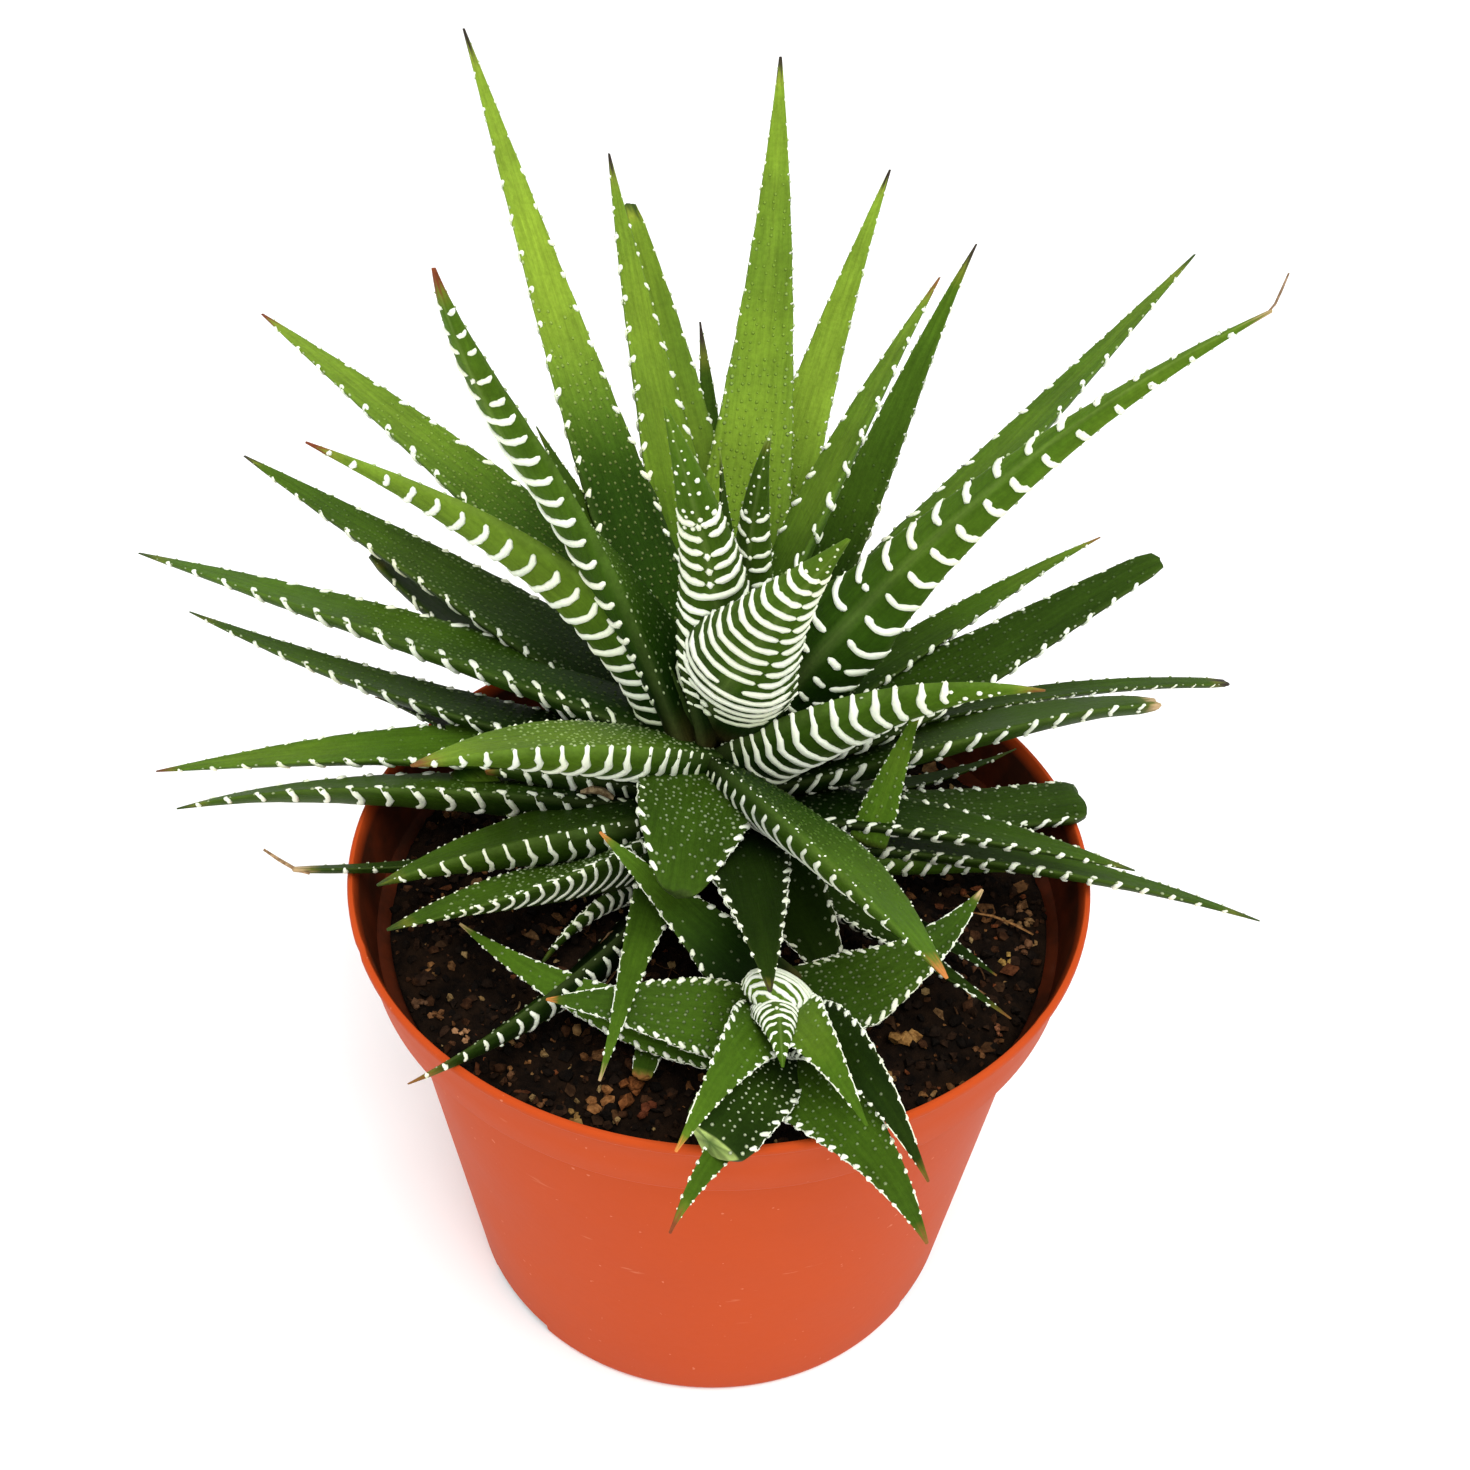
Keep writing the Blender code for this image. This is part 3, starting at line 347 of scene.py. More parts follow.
# ------------------------------------------------------------------ blades ----
class Blade:
    """One leaf: a bent centre line, a keeled section and the relief on it.

    A spot on the skin is (t, a): t runs from base (0) to tip (1), a runs round it,
    -1..1 across the underside from left to right margin, and past 1 (or -1) back
    over the upper face towards its middle at 2 (or -2).
    """

    def __init__(self, name, row, look):
        stem, heading, z0, tip, arch, bow, width, roll, end = row
        axis, r, top = STEMS[stem]
        self.name, self.look = name, look
        self.rng = np.random.default_rng(sum((i + 3) * ord(c) for i, c in enumerate(name)))
        h = math.radians(heading)
        r = r * (1.0 - 0.45 * float(smooth(top - 12.0, top, z0))) + 0.45
        p0 = np.array((axis[0] + r * math.cos(h), axis[1] + r * math.sin(h), z0))
        if "foot" in look:
            p0 = np.array(look["foot"], float)
        tip, arch, bow = look.get("tip_at", tip), look.get("arch", arch), look.get("bow", bow)
        width, roll, self.end = look.get("width", width), look.get("roll", roll), look.get("end", end)
        if self.end < 0.13:
            self.end = min(self.end, 0.035)
        p2 = np.array(tip, float)
        chord = p2 - p0
        d = chord / np.linalg.norm(chord)
        side = np.array((d[1], -d[0], 0.0))
        side /= np.linalg.norm(side)
        up = np.cross(side, d)
        self.p0, self.p2 = p0, p2
        self.p1 = p0 + chord / 2 + up * (2 * arch) + side * (2 * bow)
        self.width, self.roll = width, math.radians(roll)
        self.ess = side * look["s_side"] + up * look["s_up"]
        q = self.centre(np.linspace(0, 1, 40))
        self.length = float(np.linalg.norm(np.diff(q, axis=0), axis=1).sum())
        self.base_t = -0.05 if stem in ("main", "pup") else 0.0
        self.small = stem not in ("main",)
        self.parts = []

    def centre(self, t):
        t = np.asarray(t, float)[..., None]
        ess = self.ess * (10.4 * t * (1 - t) * (1 - 2 * t))
        return self.p0 * (1 - t) ** 2 + self.p1 * (2 * t * (1 - t)) + self.p2 * t ** 2 + ess

    def axes(self, t):
        t = np.asarray(t, float)[..., None]
        d = (self.p1 - self.p0) * (1 - t) + (self.p2 - self.p1) * t
        d = d + self.ess * (5.2 * (1 - 6 * t + 6 * t * t))
        d /= np.linalg.norm(d, axis=-1, keepdims=True)
        s = np.stack((d[..., 1], -d[..., 0], np.zeros(d.shape[:-1])), -1)
        s /= np.linalg.norm(s, axis=-1, keepdims=True)
        n = np.cross(s, d)
        turn = self.roll + math.radians(self.look["twist"]) * t
        c, k = np.cos(turn), np.sin(turn)
        return d, s * c - n * k, n * c + s * k

    def half(self, t):
        """Half width, mm."""
        t = np.asarray(t, float)
        low = 1.0 + 0.07 * np.clip(1 - t / 0.30, 0, 1.2)
        fall = np.clip((t - 0.30) / 0.70, 0, 1)
        b = low * (1 - (1 - self.end) * fall ** self.look["taper"])
        if self.look["shape"] == "round":
            b = low * np.sqrt(np.clip(1 - (0.985 * fall) ** 2.2, 0, 1))
        if self.end > 0.2:
            b = b * (1 - 0.22 * smooth(0.955, 1.0, t))
        wave = 0.012 * np.sin(t * self.length * 0.55 + self.width) + 0.01 * np.sin(t * self.length * 1.3)
        return np.maximum(self.width / 2 * b * (1 + wave * (t < 0.93)), 0.2)

    def section(self, a, t):
        """Across and up in half widths."""
        a, t = np.broadcast_arrays(np.asarray(a, float), np.asarray(t, float))
        under = np.abs(a) <= 1
        x = np.where(under, a, np.sign(a) * (2 - np.abs(a)))
        ax = np.clip(np.abs(x), 0, 1)
        keel = self.look["keel"]
        depth = self.look["depth"] + 0.10 * smooth(0.3, 0.8, t) + 0.10 * smooth(0.85, 1.0, t)
        round_ = np.sqrt(np.clip(1 - ax * ax, 0, 1))
        low = -depth * (keel * (1 - ax) ** 0.9 + (1 - keel) * round_)
        dish = 0.06 - 0.20 * smooth(0.12, 0.5, t) + 0.14 * smooth(0.7, 1.0, t)
        high = dish * (1 - ax * ax) + 0.10 * round_
        return x, np.where(under, low, high) + 0.20

    def point(self, t, a):
        t, a = np.broadcast_arrays(np.asarray(t, float), np.asarray(a, float))
        x, y = self.section(a, t)
        _, s, n = self.axes(t)
        w = self.half(t)[..., None]
        return self.centre(t) + s * (x[..., None] * w) + n * (y[..., None] * w)

    def normal(self, t, a):
        t, a = np.broadcast_arrays(np.asarray(t, float), np.asarray(a, float))
        e, f = 0.004, 0.02
        du = self.point(t + e, a) - self.point(t - e, a)
        dv = self.point(t, a + f) - self.point(t, a - f)
        m = np.cross(du, dv)
        m /= np.maximum(np.linalg.norm(m, axis=-1, keepdims=True), 1e-9)
        _, s, n = self.axes(t)
        core = self.centre(t) - n * (0.05 * self.half(t)[..., None])
        flip = np.sign(np.einsum("...i,...i", m, self.point(t, a) - core))
        return m * np.where(flip == 0, 1, flip)[..., None]

    def add(self, verts, faces, tint, wax, grain):
        n = len(verts)
        self.parts.append((verts.reshape(-1, 3), faces, np.broadcast_to(tint, (n, 3)),
                           np.broadcast_to(wax, (n,)), np.broadcast_to(grain, (n, 3))))

    # -- the blade itself
    def skin(self):
        look = self.look
        nt = int(np.clip(self.length * 0.55, 26, 56))
        u = np.linspace(0, 1, nt)
        t = self.base_t + (1 - self.base_t) * (1 - (1 - u) ** 1.12)
        lo = -np.cos(np.pi * np.arange(0, 15) / 14)
        hi = np.cos(np.pi * np.arange(1, 10) / 10)
        a = np.concatenate((lo, np.where(hi > 0, 2 - hi, -2 - hi)))
        k = len(a)
        tt, aa = np.meshgrid(t, a, indexing="ij")
        if self.end > 0.2 and look["shape"] == "point":
            rough = self.rng.random(k) * 0.6 + 0.5 + 0.5 * np.sin(a * 3.1 + self.width)
            tt = tt - np.clip((tt - 0.9) / 0.1, 0, 1) ** 3 * (rough * 0.55 / self.length)
        pts = self.point(tt, aa)
        under = np.abs(aa) <= 1
        x = np.where(under, aa, np.sign(aa) * (2 - np.abs(aa)))
        level = look["tone"] + look["to_tip"] * (tt - 0.5) - 0.06 * under
        # painted shade: the level drops near the foot, below t 0.25, where the leaves crowd at the stem
        level = level - 0.12 * (1 - smooth(0.0, 0.25, tt)) + 0.05 * (1 - np.abs(x)) * ~under
        level += 0.05 * np.sin(tt * 9 + self.width * 3) * np.cos(aa * 2.1)
        # painted shade: the dark factor darkens the whole leaf where it sits deep in shadow
        rgb = green(level) * look["dark"]
        # painted shade: the colour is multiplied down towards the foot, as shade between the crowded leaf bases
        foot = look["painted_foot_shade"]
        shade = foot + (1 - foot) * smooth(look["foot_from"], look["foot_to"], tt)
        rgb = rgb * shade[..., None] ** np.array((1.20, 0.93, 1.0))
        pale_keel = (0.10 * smooth(0.25, 0.0, np.abs(x)) * under)[..., None]
        rgb = rgb * (1 - pale_keel) + PALE * pale_keel
        base = smooth(0.07, -0.04, tt)[..., None] * 0.75
        rgb = rgb * (1 - base) + np.array((0.045, 0.035, 0.010)) * base
        edge = (smooth(0.90, 1.0, np.abs(x)) * 0.30)[..., None]
        rgb = rgb * (1 - edge) + (rgb * 0.7 + PALE * 0.16) * edge
        dry = look["dry"]
        if dry > 0:
            ragged = 0.012 * np.sin(aa * 7 + self.width)
            m = smooth(1 - dry * 1.6, 1 - dry * 0.7, tt + ragged)[..., None]
            rgb = rgb * (1 - m) + np.array(TIP_RGB[look["tip"]]) * m
            halo = (smooth(1 - dry * 2.4, 1 - dry * 1.4, tt))[..., None] * (1 - m) * 0.25
            rgb = rgb * (1 - halo) + np.array((0.30, 0.26, 0.04)) * halo
        grain = np.stack((x * self.half(tt), tt * self.length, np.zeros_like(tt)), -1)
        verts = list(pts.reshape(-1, 3))
        tints = list(rgb.reshape(-1, 3))
        grains = list(grain.reshape(-1, 3))
        faces = []
        for i in range(nt - 1):
            for j in range(k):
                p, q = i * k + j, i * k + (j + 1) % k
                faces.append((p, q, q + k, p + k))
        # base and tip are closed by a ring drawn in and a middle point
        for ring, t_end, sgn in ((0, t[0], -1), (nt - 1, 1.0, 1)):
            d, _, n = self.axes(t_end)
            mid = self.centre(t_end) - n * (0.02 * self.half(t_end))
            first = len(verts)
            rad = float(self.half(t_end))
            sunk = 0.05 if self.look["tip"] in ("cut", "dull", "tan", "brown") and self.end > 0.2 else -0.35
            for j in range(k):
                p = verts[ring * k + j]
                inward = 0.10 if look["tip"] == "cut" and sgn > 0 else 0.30
                verts.append(p + (mid - p) * inward + d * sgn * rad * 0.05)
                c = np.array(TIP_RGB[self.look["tip"]]) if sgn > 0 and self.end > 0.2 else tints[ring * k + j]
                if self.look["tip"] == "cut" and sgn > 0:
                    c = PALE * (0.70 + 0.25 * math.sin(j * 1.9))
                tints.append(c)
                grains.append(grains[ring * k + j])
            verts.append(mid + d * (-sgn * sunk * rad))
            tints.append(tints[-1])
            grains.append(grains[ring * k])
            if self.look["tip"] == "cut" and sgn > 0:
                tints[-1] = np.array((0.050, 0.095, 0.022))
            for j in range(k):
                p, q = ring * k + j, ring * k + (j + 1) % k
                r, s = first + j, first + (j + 1) % k
                quad = (q, p, r, s) if sgn < 0 else (p, q, s, r)
                faces.append(quad)
                faces.append((s, r, first + k) if sgn < 0 else (r, s, first + k))
        self.add(np.array(verts), faces, np.array(tints), np.zeros(len(verts)), np.array(grains))

    # -- raised ridges: each a closed sausage, half sunk in the skin
    def ridges(self, t, a, width, height, tint, wax=1.0):
        """t, a, width: arrays (pieces, steps). Height and tint are per piece."""
        m, n = t.shape
        if m == 0:
            return
        p = self.point(t, a)
        nn = self.normal(t, a)
        g = np.gradient(p, axis=1)
        g -= nn * np.einsum("...i,...i", g, nn)[..., None]
        g /= np.maximum(np.linalg.norm(g, axis=-1, keepdims=True), 1e-9)
        b = np.cross(nn, g)
        u = np.linspace(-1, 1, n)
        cap = np.sqrt(np.clip(1 - (np.abs(u) * 0.96) ** 8, 0, 1))
        w = width * cap / 2
        h = height[:, None] * (0.35 + 0.65 * cap)
        phi = np.radians((0, 55, 125, 180, 235, 305))
        cw, ch = np.cos(phi), np.where(np.sin(phi) < 0, np.sin(phi) * 0.5, np.sin(phi))
        ring = (p[:, :, None] + b[:, :, None] * (w[:, :, None] * cw)[..., None]
                + nn[:, :, None] * (h[:, :, None] * ch)[..., None])
        ends = np.stack((p[:, 0] - g[:, 0] * (w[:, :1] * 0.8), p[:, -1] + g[:, -1] * (w[:, -1:] * 0.8)), 1)
        verts = np.concatenate((ring.reshape(m, n * 6, 3), ends), 1)
        per = n * 6 + 2
        one = []
        for i in range(n - 1):
            for j in range(6):
                k = (j + 1) % 6
                one.append((i * 6 + j, i * 6 + k, (i + 1) * 6 + k, (i + 1) * 6 + j))
        caps = [(k, j, n * 6) for j, k in ((j, (j + 1) % 6) for j in range(6))]
        last = (n - 1) * 6
        caps += [(last + j, last + (j + 1) % 6, n * 6 + 1) for j in range(6)]
        faces = [tuple(v + i * per for v in f) for i in range(m) for f in one + caps]
        tints = np.repeat(tint, per, 0)
        grain = np.zeros((m * per, 3))
        grain[:, 0] = np.repeat(a.mean(1) * 7, per)
        grain[:, 1] = np.repeat(t.mean(1) * self.length, per)
        self.add(verts.reshape(-1, 3), faces, tints, np.full(m * per, wax), grain)

    def bumps(self, t, a, along, across, height, tint, wax, domes=1):
        """Small closed bumps; arrays of one length."""
        m = len(t)
        if m == 0:
            return
        p, nn = self.point(t, a), self.normal(t, a)
        g = self.point(t + 0.003, a) - p
        g -= nn * np.einsum("...i,...i", g, nn)[..., None]
        g /= np.maximum(np.linalg.norm(g, axis=-1, keepdims=True), 1e-9)
        b = np.cross(nn, g)
        phi = np.radians(np.arange(6) * 60)
        rows = [(1.0, -0.12)] if domes == 1 else [(1.0, -0.10), (0.72, 0.66)]
        rings = []
        for k, z in rows:
            rings.append(p[:, None] + g[:, None] * (along[:, None] * np.cos(phi) * k)[..., None]
                         + b[:, None] * (across[:, None] * np.sin(phi) * k)[..., None]
                         + nn[:, None] * (height * z)[:, None, None])
        top = (p + nn * height[:, None])[:, None]
        low = (p - nn * (height * 0.5)[:, None])[:, None]
        verts = np.concatenate(rings + [top, low], 1)
        per, r = verts.shape[1], len(rows)
        one = []
        for j in range(6):
            k = (j + 1) % 6
            if r == 2:
                one.append((j, k, 6 + k, 6 + j))
            q = (r - 1) * 6
            one.append((q + j, q + k, r * 6))
            one.append((k, j, r * 6 + 1))
        faces = [tuple(v + i * per for v in f) for i in range(m) for f in one]
        tints = np.repeat(tint, per, 0)
        grain = np.zeros((m * per, 3))
        grain[:, 0] = np.repeat(a * 5, per)
        grain[:, 1] = np.repeat(t * self.length, per)
        self.add(verts.reshape(-1, 3), faces, tints, np.repeat(np.broadcast_to(wax, (m,)), per), grain)

    def whites(self, n, dim=0.0):
        v = 1 - dim - 0.10 * self.rng.random(n)
        c = WHITE * v[:, None]
        lean = (self.rng.random(n) * 0.16)[:, None]
        return c * (1 - lean) + PALE * lean

    def bands(self):
        """The white bands of the underside."""
        look, rng = self.look, self.rng
        short, mid, full = [], [], []        # (t, a0, a1, curve, width)
        sides = (0,) if look["style"] == "ring" else (-1, 1)
        for side in sides:
            t = 0.045 + 0.02 * rng.random()
            while True:
                w = float(self.half(t))
                step = look["spacing"] * (0.62 + 0.38 * float(smooth(0.04, 0.35, t)) + 0.12 * t)
                t += step * (0.93 + 0.14 * rng.random()) / self.length
                if t > look["far"] or t * self.length > self.length - look.get("stop", 3.0):
                    break
                w = float(self.half(t))
                reach = 1.0 + look["wrap"] * (0.75 + 0.5 * rng.random()) * min(1.0, w / 4)
                fade = float(smooth(0.60, 0.93, t)) * (look["shape"] == "point")
                bw = look["band"] * (0.92 + 0.16 * rng.random()) * (1 - 0.30 * fade)
                bw *= 0.55 + 0.45 * float(smooth(0.0, 0.25, t))
                if side == 0:
                    crown = ("ring", w)
                    chance = look["broken"] + (1 - look["broken"]) * float(
                        smooth(look["far"] - 0.40, look["far"] - 0.05, t)) * (look["shape"] == "point")
                    if look["split"] and t > look["split"][0] and w > 1.5:
                        c, g = look["split"][1] + 0.16 * (rng.random() - 0.5), 0.05 + 0.03 * rng.random()
                        mid.append((t, c + g, reach, crown, bw))
                        short.append((t - 0.08 * step / self.length, -reach, c - g, crown, bw))
                    elif rng.random() > chance:
                        full.append((t, -reach * look["trim"], reach, crown, bw))
                    else:
                        c = 0.35 * (rng.random() - 0.5)
                        g = 0.12 + 0.10 * rng.random() + 0.28 * fade
                        for a0, a1 in ((-reach * look["trim"], c - g), (c + g, reach)):
                            if a1 - a0 > 0.9:
                                mid.append((t + 0.15 * (rng.random() - 0.5) * step / self.length, a0, a1, crown, bw))
                            elif a1 - a0 > 0.12:
                                short.append((t + 0.3 * (rng.random() - 0.5) * step / self.length, a0, a1, crown, bw))
                        if g > 0.14 and w > 2.2 and rng.random() < 0.75:
                            short.append((t - 0.12 * step / self.length, c - 0.06, c + 0.06, crown, bw * 1.15))
                else:
                    gap = look["gap"] + 0.42 * fade + 0.08 * rng.random()
                    crown = ("flank", w, gap, reach)
                    if rng.random() < look["broken"] and w > 3:
                        c = gap + (reach - gap) * (0.30 + 0.3 * rng.random())
                        spans = ((gap, c - 0.07), (c + 0.07, reach))
                    else:
                        spans = ((gap, reach),)
                    for a0, a1 in spans:
                        b0, b1 = (a0, a1) if side > 0 else (-a1, -a0)
                        (mid if a1 - a0 > 0.45 else short).append((t, b0, b1, crown, bw))
        for rows, n in ((short, 6), (mid, 10), (full, 18)):
            if not rows:
                continue
            t0 = np.array([r[0] for r in rows])[:, None]
            a0 = np.array([r[1] for r in rows])[:, None]
            a1 = np.array([r[2] for r in rows])[:, None]
            bw = np.array([r[4] for r in rows])[:, None]
            u = np.linspace(0, 1, n)[None]
            a = a0 + (a1 - a0) * u
            lift = np.zeros_like(a)
            for i, r in enumerate(rows):
                c, w, x = r[3], r[3][1], np.abs(a[i])
                if c[0] == "ring":
                    lift[i] = w * (0.13 * x ** 2 + 0.20 * smooth(0.72, 1.0, x) + look["slant"] * a[i])
                else:
                    v = np.clip((x - c[2]) / max(c[3] - c[2], 0.05), 0, 1)
                    lift[i] = w * (0.30 * (2 * v - 0.9) ** 2 * np.where(v > 0.45, 1.0, 0.55) + 0.03)
            k = self.rng.random((len(rows), 1)) * 6.28
            lift += 0.10 * np.sin(a * 6.5 + k) + 0.05 * np.sin(a * 17 + 2 * k)
            t = t0 + lift / self.length
            wide = bw * (0.98 + 0.10 * np.sin(a * 9 + 3 * k) + 0.10 * np.sin(a * 23 + 5 * k)
                         + 0.26 * (np.abs(2 * u - 1) ** 5))
            h = 0.36 * bw[:, 0] * (0.9 + 0.2 * self.rng.random(len(rows)))
            tint = self.whites(len(rows))
            # towards the leaf foot the bands turn paler green
            near_foot = smooth(0.20, 0.05, t0[:, 0])[:, None] * 0.40
            # the bands of leaves painted darker as shade are dimmed by part of that painted shade
            tint = (tint * (1 - near_foot) + PALE * near_foot * 0.8) * (0.25 * look["dark"] + 0.75)
            self.ridges(t, a, wide, h, tint)

    def pearls(self):
        """Past the last band the underside carries rows of white beads instead."""
        look, rng = self.look, self.rng
        if look["far"] > 0.9 or look["style"] != "ring":
            return
        ts, as_, size = [], [], []
        t, odd = look["far"] - 0.02, 0
        while t * self.length < self.length - 1.2:
            w = float(self.half(t))
            n = max(1, int(round(2 * w / 1.75)))
            odd = 1 - odd
            for i in range(n):
                a = ((i + 0.5 + 0.25 * (odd - 0.5)) / n * 2 - 1) * 0.92
                if rng.random() < 0.15:
                    continue
                ts.append(t + 0.9 * (rng.random() - 0.5) / self.length)
                as_.append(a + 0.22 * (rng.random() - 0.5))
                size.append((0.55 + 0.60 * rng.random() ** 1.5) * min(1.0, 0.35 + w / 5))
            t += (1.55 + 0.3 * rng.random()) / self.length
        t, a, s = np.array(ts), np.array(as_), np.array(size)
        fade = smooth(1.0, 0.84, t)[:, None] * 0.45 + 0.55
        tint = self.whites(len(t), 0.04) * fade + PALE * (1 - fade)
        self.bumps(t, a, 0.58 * s, 0.52 * s, 0.36 * s, tint, 0.9, domes=2)

    def teeth(self):
        look, rng = self.look, self.rng
        if look["teeth"] <= 0:
            return
        ts, as_, size = [], [], []
        for side in (-1, 1):
            t = 0.05 + 0.03 * rng.random()
            while t < 0.975:
                step = (1.40 if self.small else 2.7) * (0.80 + 0.60 * t) * (0.8 + 0.4 * rng.random())
                t += step / self.length
                if t * self.length > self.length - 2.0:
                    break
                ts.append(t)
                as_.append(side * (0.99 + 0.05 * rng.random()))
                size.append((0.75 + 0.5 * rng.random()) * (0.6 + 0.4 * float(smooth(1.0, 0.75, t))))
        t, a, s = np.array(ts), np.array(as_), np.array(size) * look["teeth"]
        s = s * (0.52 if self.small else 0.76)
        k = look["tooth_white"]
        # the teeth take the leaf's green together with its painted shade (dark)
        own = green(look["tone"] + look["to_tip"] * (t - 0.5)) * look["dark"]
        tint = self.whites(len(t), 0.02) * k + (own * 0.75 + PALE * 0.25) * (1 - k)
        self.bumps(t, a, 0.50 * s, 0.27 * s, 0.38 * s, tint, 0.3 + 0.7 * k, domes=2)

    def rim_line(self):
        """Thin white ridge that runs along both margins of some leaves."""
        look, rng = self.look, self.rng
        if look["rim"] <= 0:
            return
        rows = []
        for side in (-1, 1):
            t = 0.05
            while t < 0.86:
                run = (2.5 + 4.0 * rng.random()) / self.length
                if rng.random() < 0.55 + 0.45 * look["rim"]:
                    rows.append((t, min(t + run * 0.92, 0.90), side))
                t += run
        t0 = np.array([r[0] for r in rows])[:, None]
        t1 = np.array([r[1] for r in rows])[:, None]
        sd = np.array([r[2] for r in rows])[:, None]
        u = np.linspace(0, 1, 8)[None]
        t = t0 + (t1 - t0) * u
        a = sd * (1.0 + 0.02 * np.sin(t * self.length * 2.5))
        wide = 0.21 * (0.75 + 0.35 * look["rim"]) * (1 + 0.2 * np.sin(t * self.length * 3.1)) * np.ones_like(t)
        self.ridges(t, a, wide, np.full(len(rows), 0.12), self.whites(len(rows), 0.06))

    def sown(self):
        """Small pale bumps on the upper face, in loose cross rows."""
        look, rng = self.look, self.rng
        if look["dots"] <= 0:
            return
        pitch = (1.75 if self.small else 1.75) / math.sqrt(look["dots"])
        ts, as_, r, pale = [], [], [], []
        t = 0.06
        while t < look["dots_to"]:
            w = float(self.half(t))
            fade = float(smooth(look["dots_to"], look["dots_to"] * 0.55, t))
            n = int(2 * w * 0.92 / pitch)
            for i in range(n):
                if rng.random() > 0.35 + 0.65 * fade:
                    continue
                x = ((i + 0.5) / n * 2 - 1) * 0.90 + 0.16 * (rng.random() - 0.5)
                ts.append(t + (rng.random() - 0.5) * pitch * 0.55 / self.length)
                as_.append(2 - x if x > 0 else -2 - x)
                near = abs(x) > 0.72
                r.append((0.25 + 0.13 * rng.random() + 0.04 * near) * (0.80 if self.small else 1.0))
                pale.append(look["dot_white"] * (0.8 + 0.6 * rng.random()) + 0.08 * near)
            t += pitch / self.length
        if not ts:
            return
        t, a, r, pale = map(np.array, (ts, as_, r, pale))
        # the bumps take the leaf's green together with its painted shade (dark)
        own = green(look["tone"] + 0.05 + look["to_tip"] * (t - 0.5)) * look["dark"]
        # painted shade at the foot, as on the skin
        foot = look["painted_foot_shade"]
        shade = foot + (1 - foot) * smooth(look["foot_from"], look["foot_to"], t)
        own = own * ((0.20 + 0.80 * shade) * 1.2)[:, None]
        tint = own * (1 - pale[:, None]) + (WHITE * 0.55 + PALE * 0.45) * pale[:, None]
        self.bumps(t, a, r * 1.15, r, r * 0.62, tint, 0.4)

    def build(self, skin):
        self.skin()
        self.bands()
        self.pearls()
        self.teeth()
        self.rim_line()
        self.sown()
        verts, faces, n = [], [], 0
        for v, f, *_ in self.parts:
            verts.append(v)
            faces.extend(tuple(i + n for i in q) for q in f)
            n += len(v)
        verts = np.concatenate(verts) * MM
        me = bpy.data.meshes.new(self.name)
        me.from_pydata(verts.tolist(), [], faces)
        for key, col, kind in (("tint", 2, 'FLOAT_COLOR'), ("wax", 3, 'FLOAT'), ("grain", 4, 'FLOAT_VECTOR')):
            data = np.concatenate([p[col] for p in self.parts])
            at = me.attributes.new(key, kind, 'POINT')
            if kind == 'FLOAT_COLOR':
                data = np.concatenate((np.clip(data, 0, 1), np.ones((len(data), 1))), 1)
                at.data.foreach_set("color", data.astype(np.float32).ravel())
            elif kind == 'FLOAT':
                at.data.foreach_set("value", data.astype(np.float32))
            else:
                at.data.foreach_set("vector", data.astype(np.float32).ravel())
        me.materials.append(skin)
        me.shade_smooth()
        me.validate()
        ob = bpy.data.objects.new(self.name, me)
        bpy.context.scene.collection.objects.link(ob)
        return ob


# --------------------------------------------------------------- materials ----
class Nodes:
    """Short hand for laying out a material."""

    def __init__(self, name):
        self.mat = bpy.data.materials.new(name)
        self.mat.use_nodes = True
        self.tree = self.mat.node_tree
        self.shader = self.tree.nodes["Principled BSDF"]

    def new(self, kind, **settings):
        n = self.tree.nodes.new(kind)
        for k, v in settings.items():
            setattr(n, k, v)
        return n

    def link(self, a, b):
        self.tree.links.new(a, b)

    def set(self, **values):
        for k, v in values.items():
            self.shader.inputs[k.replace("_", " ")].default_value = v

    def attribute(self, name):
        return self.new("ShaderNodeAttribute", attribute_name=name)

    def noise(self, vector, scale, detail=3.0, rough=0.5):
        n = self.new("ShaderNodeTexNoise")
        n.inputs["Scale"].default_value = scale
        n.inputs["Detail"].default_value = detail
        n.inputs["Roughness"].default_value = rough
        if vector is not None:
            self.link(vector, n.inputs["Vector"])
        return n.outputs["Fac"]

    def spread(self, value, lo, hi, to_lo, to_hi):
        n = self.new("ShaderNodeMapRange")
        n.inputs["From Min"].default_value = lo
        n.inputs["From Max"].default_value = hi
        n.inputs["To Min"].default_value = to_lo
        n.inputs["To Max"].default_value = to_hi
        self.link(value, n.inputs["Value"])
        return n.outputs["Result"]

    def math(self, op, a, b):
        n = self.new("ShaderNodeMath", operation=op)
        for i, v in enumerate((a, b)):
            if isinstance(v, (int, float)):
                n.inputs[i].default_value = v
            else:
                self.link(v, n.inputs[i])
        return n.outputs[0]

    def mix(self, fac, a, b, kind='MIX'):
        n = self.new("ShaderNodeMix", data_type='RGBA', blend_type=kind)
        for i, v in ((0, fac), (6, a), (7, b)):
            if isinstance(v, (int, float)):
                n.inputs[i].default_value = v
            elif isinstance(v, tuple):
                n.inputs[i].default_value = (*v, 1.0)
            else:
                self.link(v, n.inputs[i])
        return n.outputs[2]

    def scaled(self, vector, factor):
        n = self.new("ShaderNodeVectorMath", operation='MULTIPLY')
        self.link(vector, n.inputs[0])
        n.inputs[1].default_value = factor
        return n.outputs[0]

    def bump(self, height, strength, distance, below=None):
        n = self.new("ShaderNodeBump")
        n.inputs["Strength"].default_value = strength
        n.inputs["Distance"].default_value = distance
        self.link(height, n.inputs["Height"])
        if below is not None:
            self.link(below, n.inputs["Normal"])
        return n.outputs["Normal"]

    def here(self):
        return self.new("ShaderNodeTexCoord").outputs["Object"]


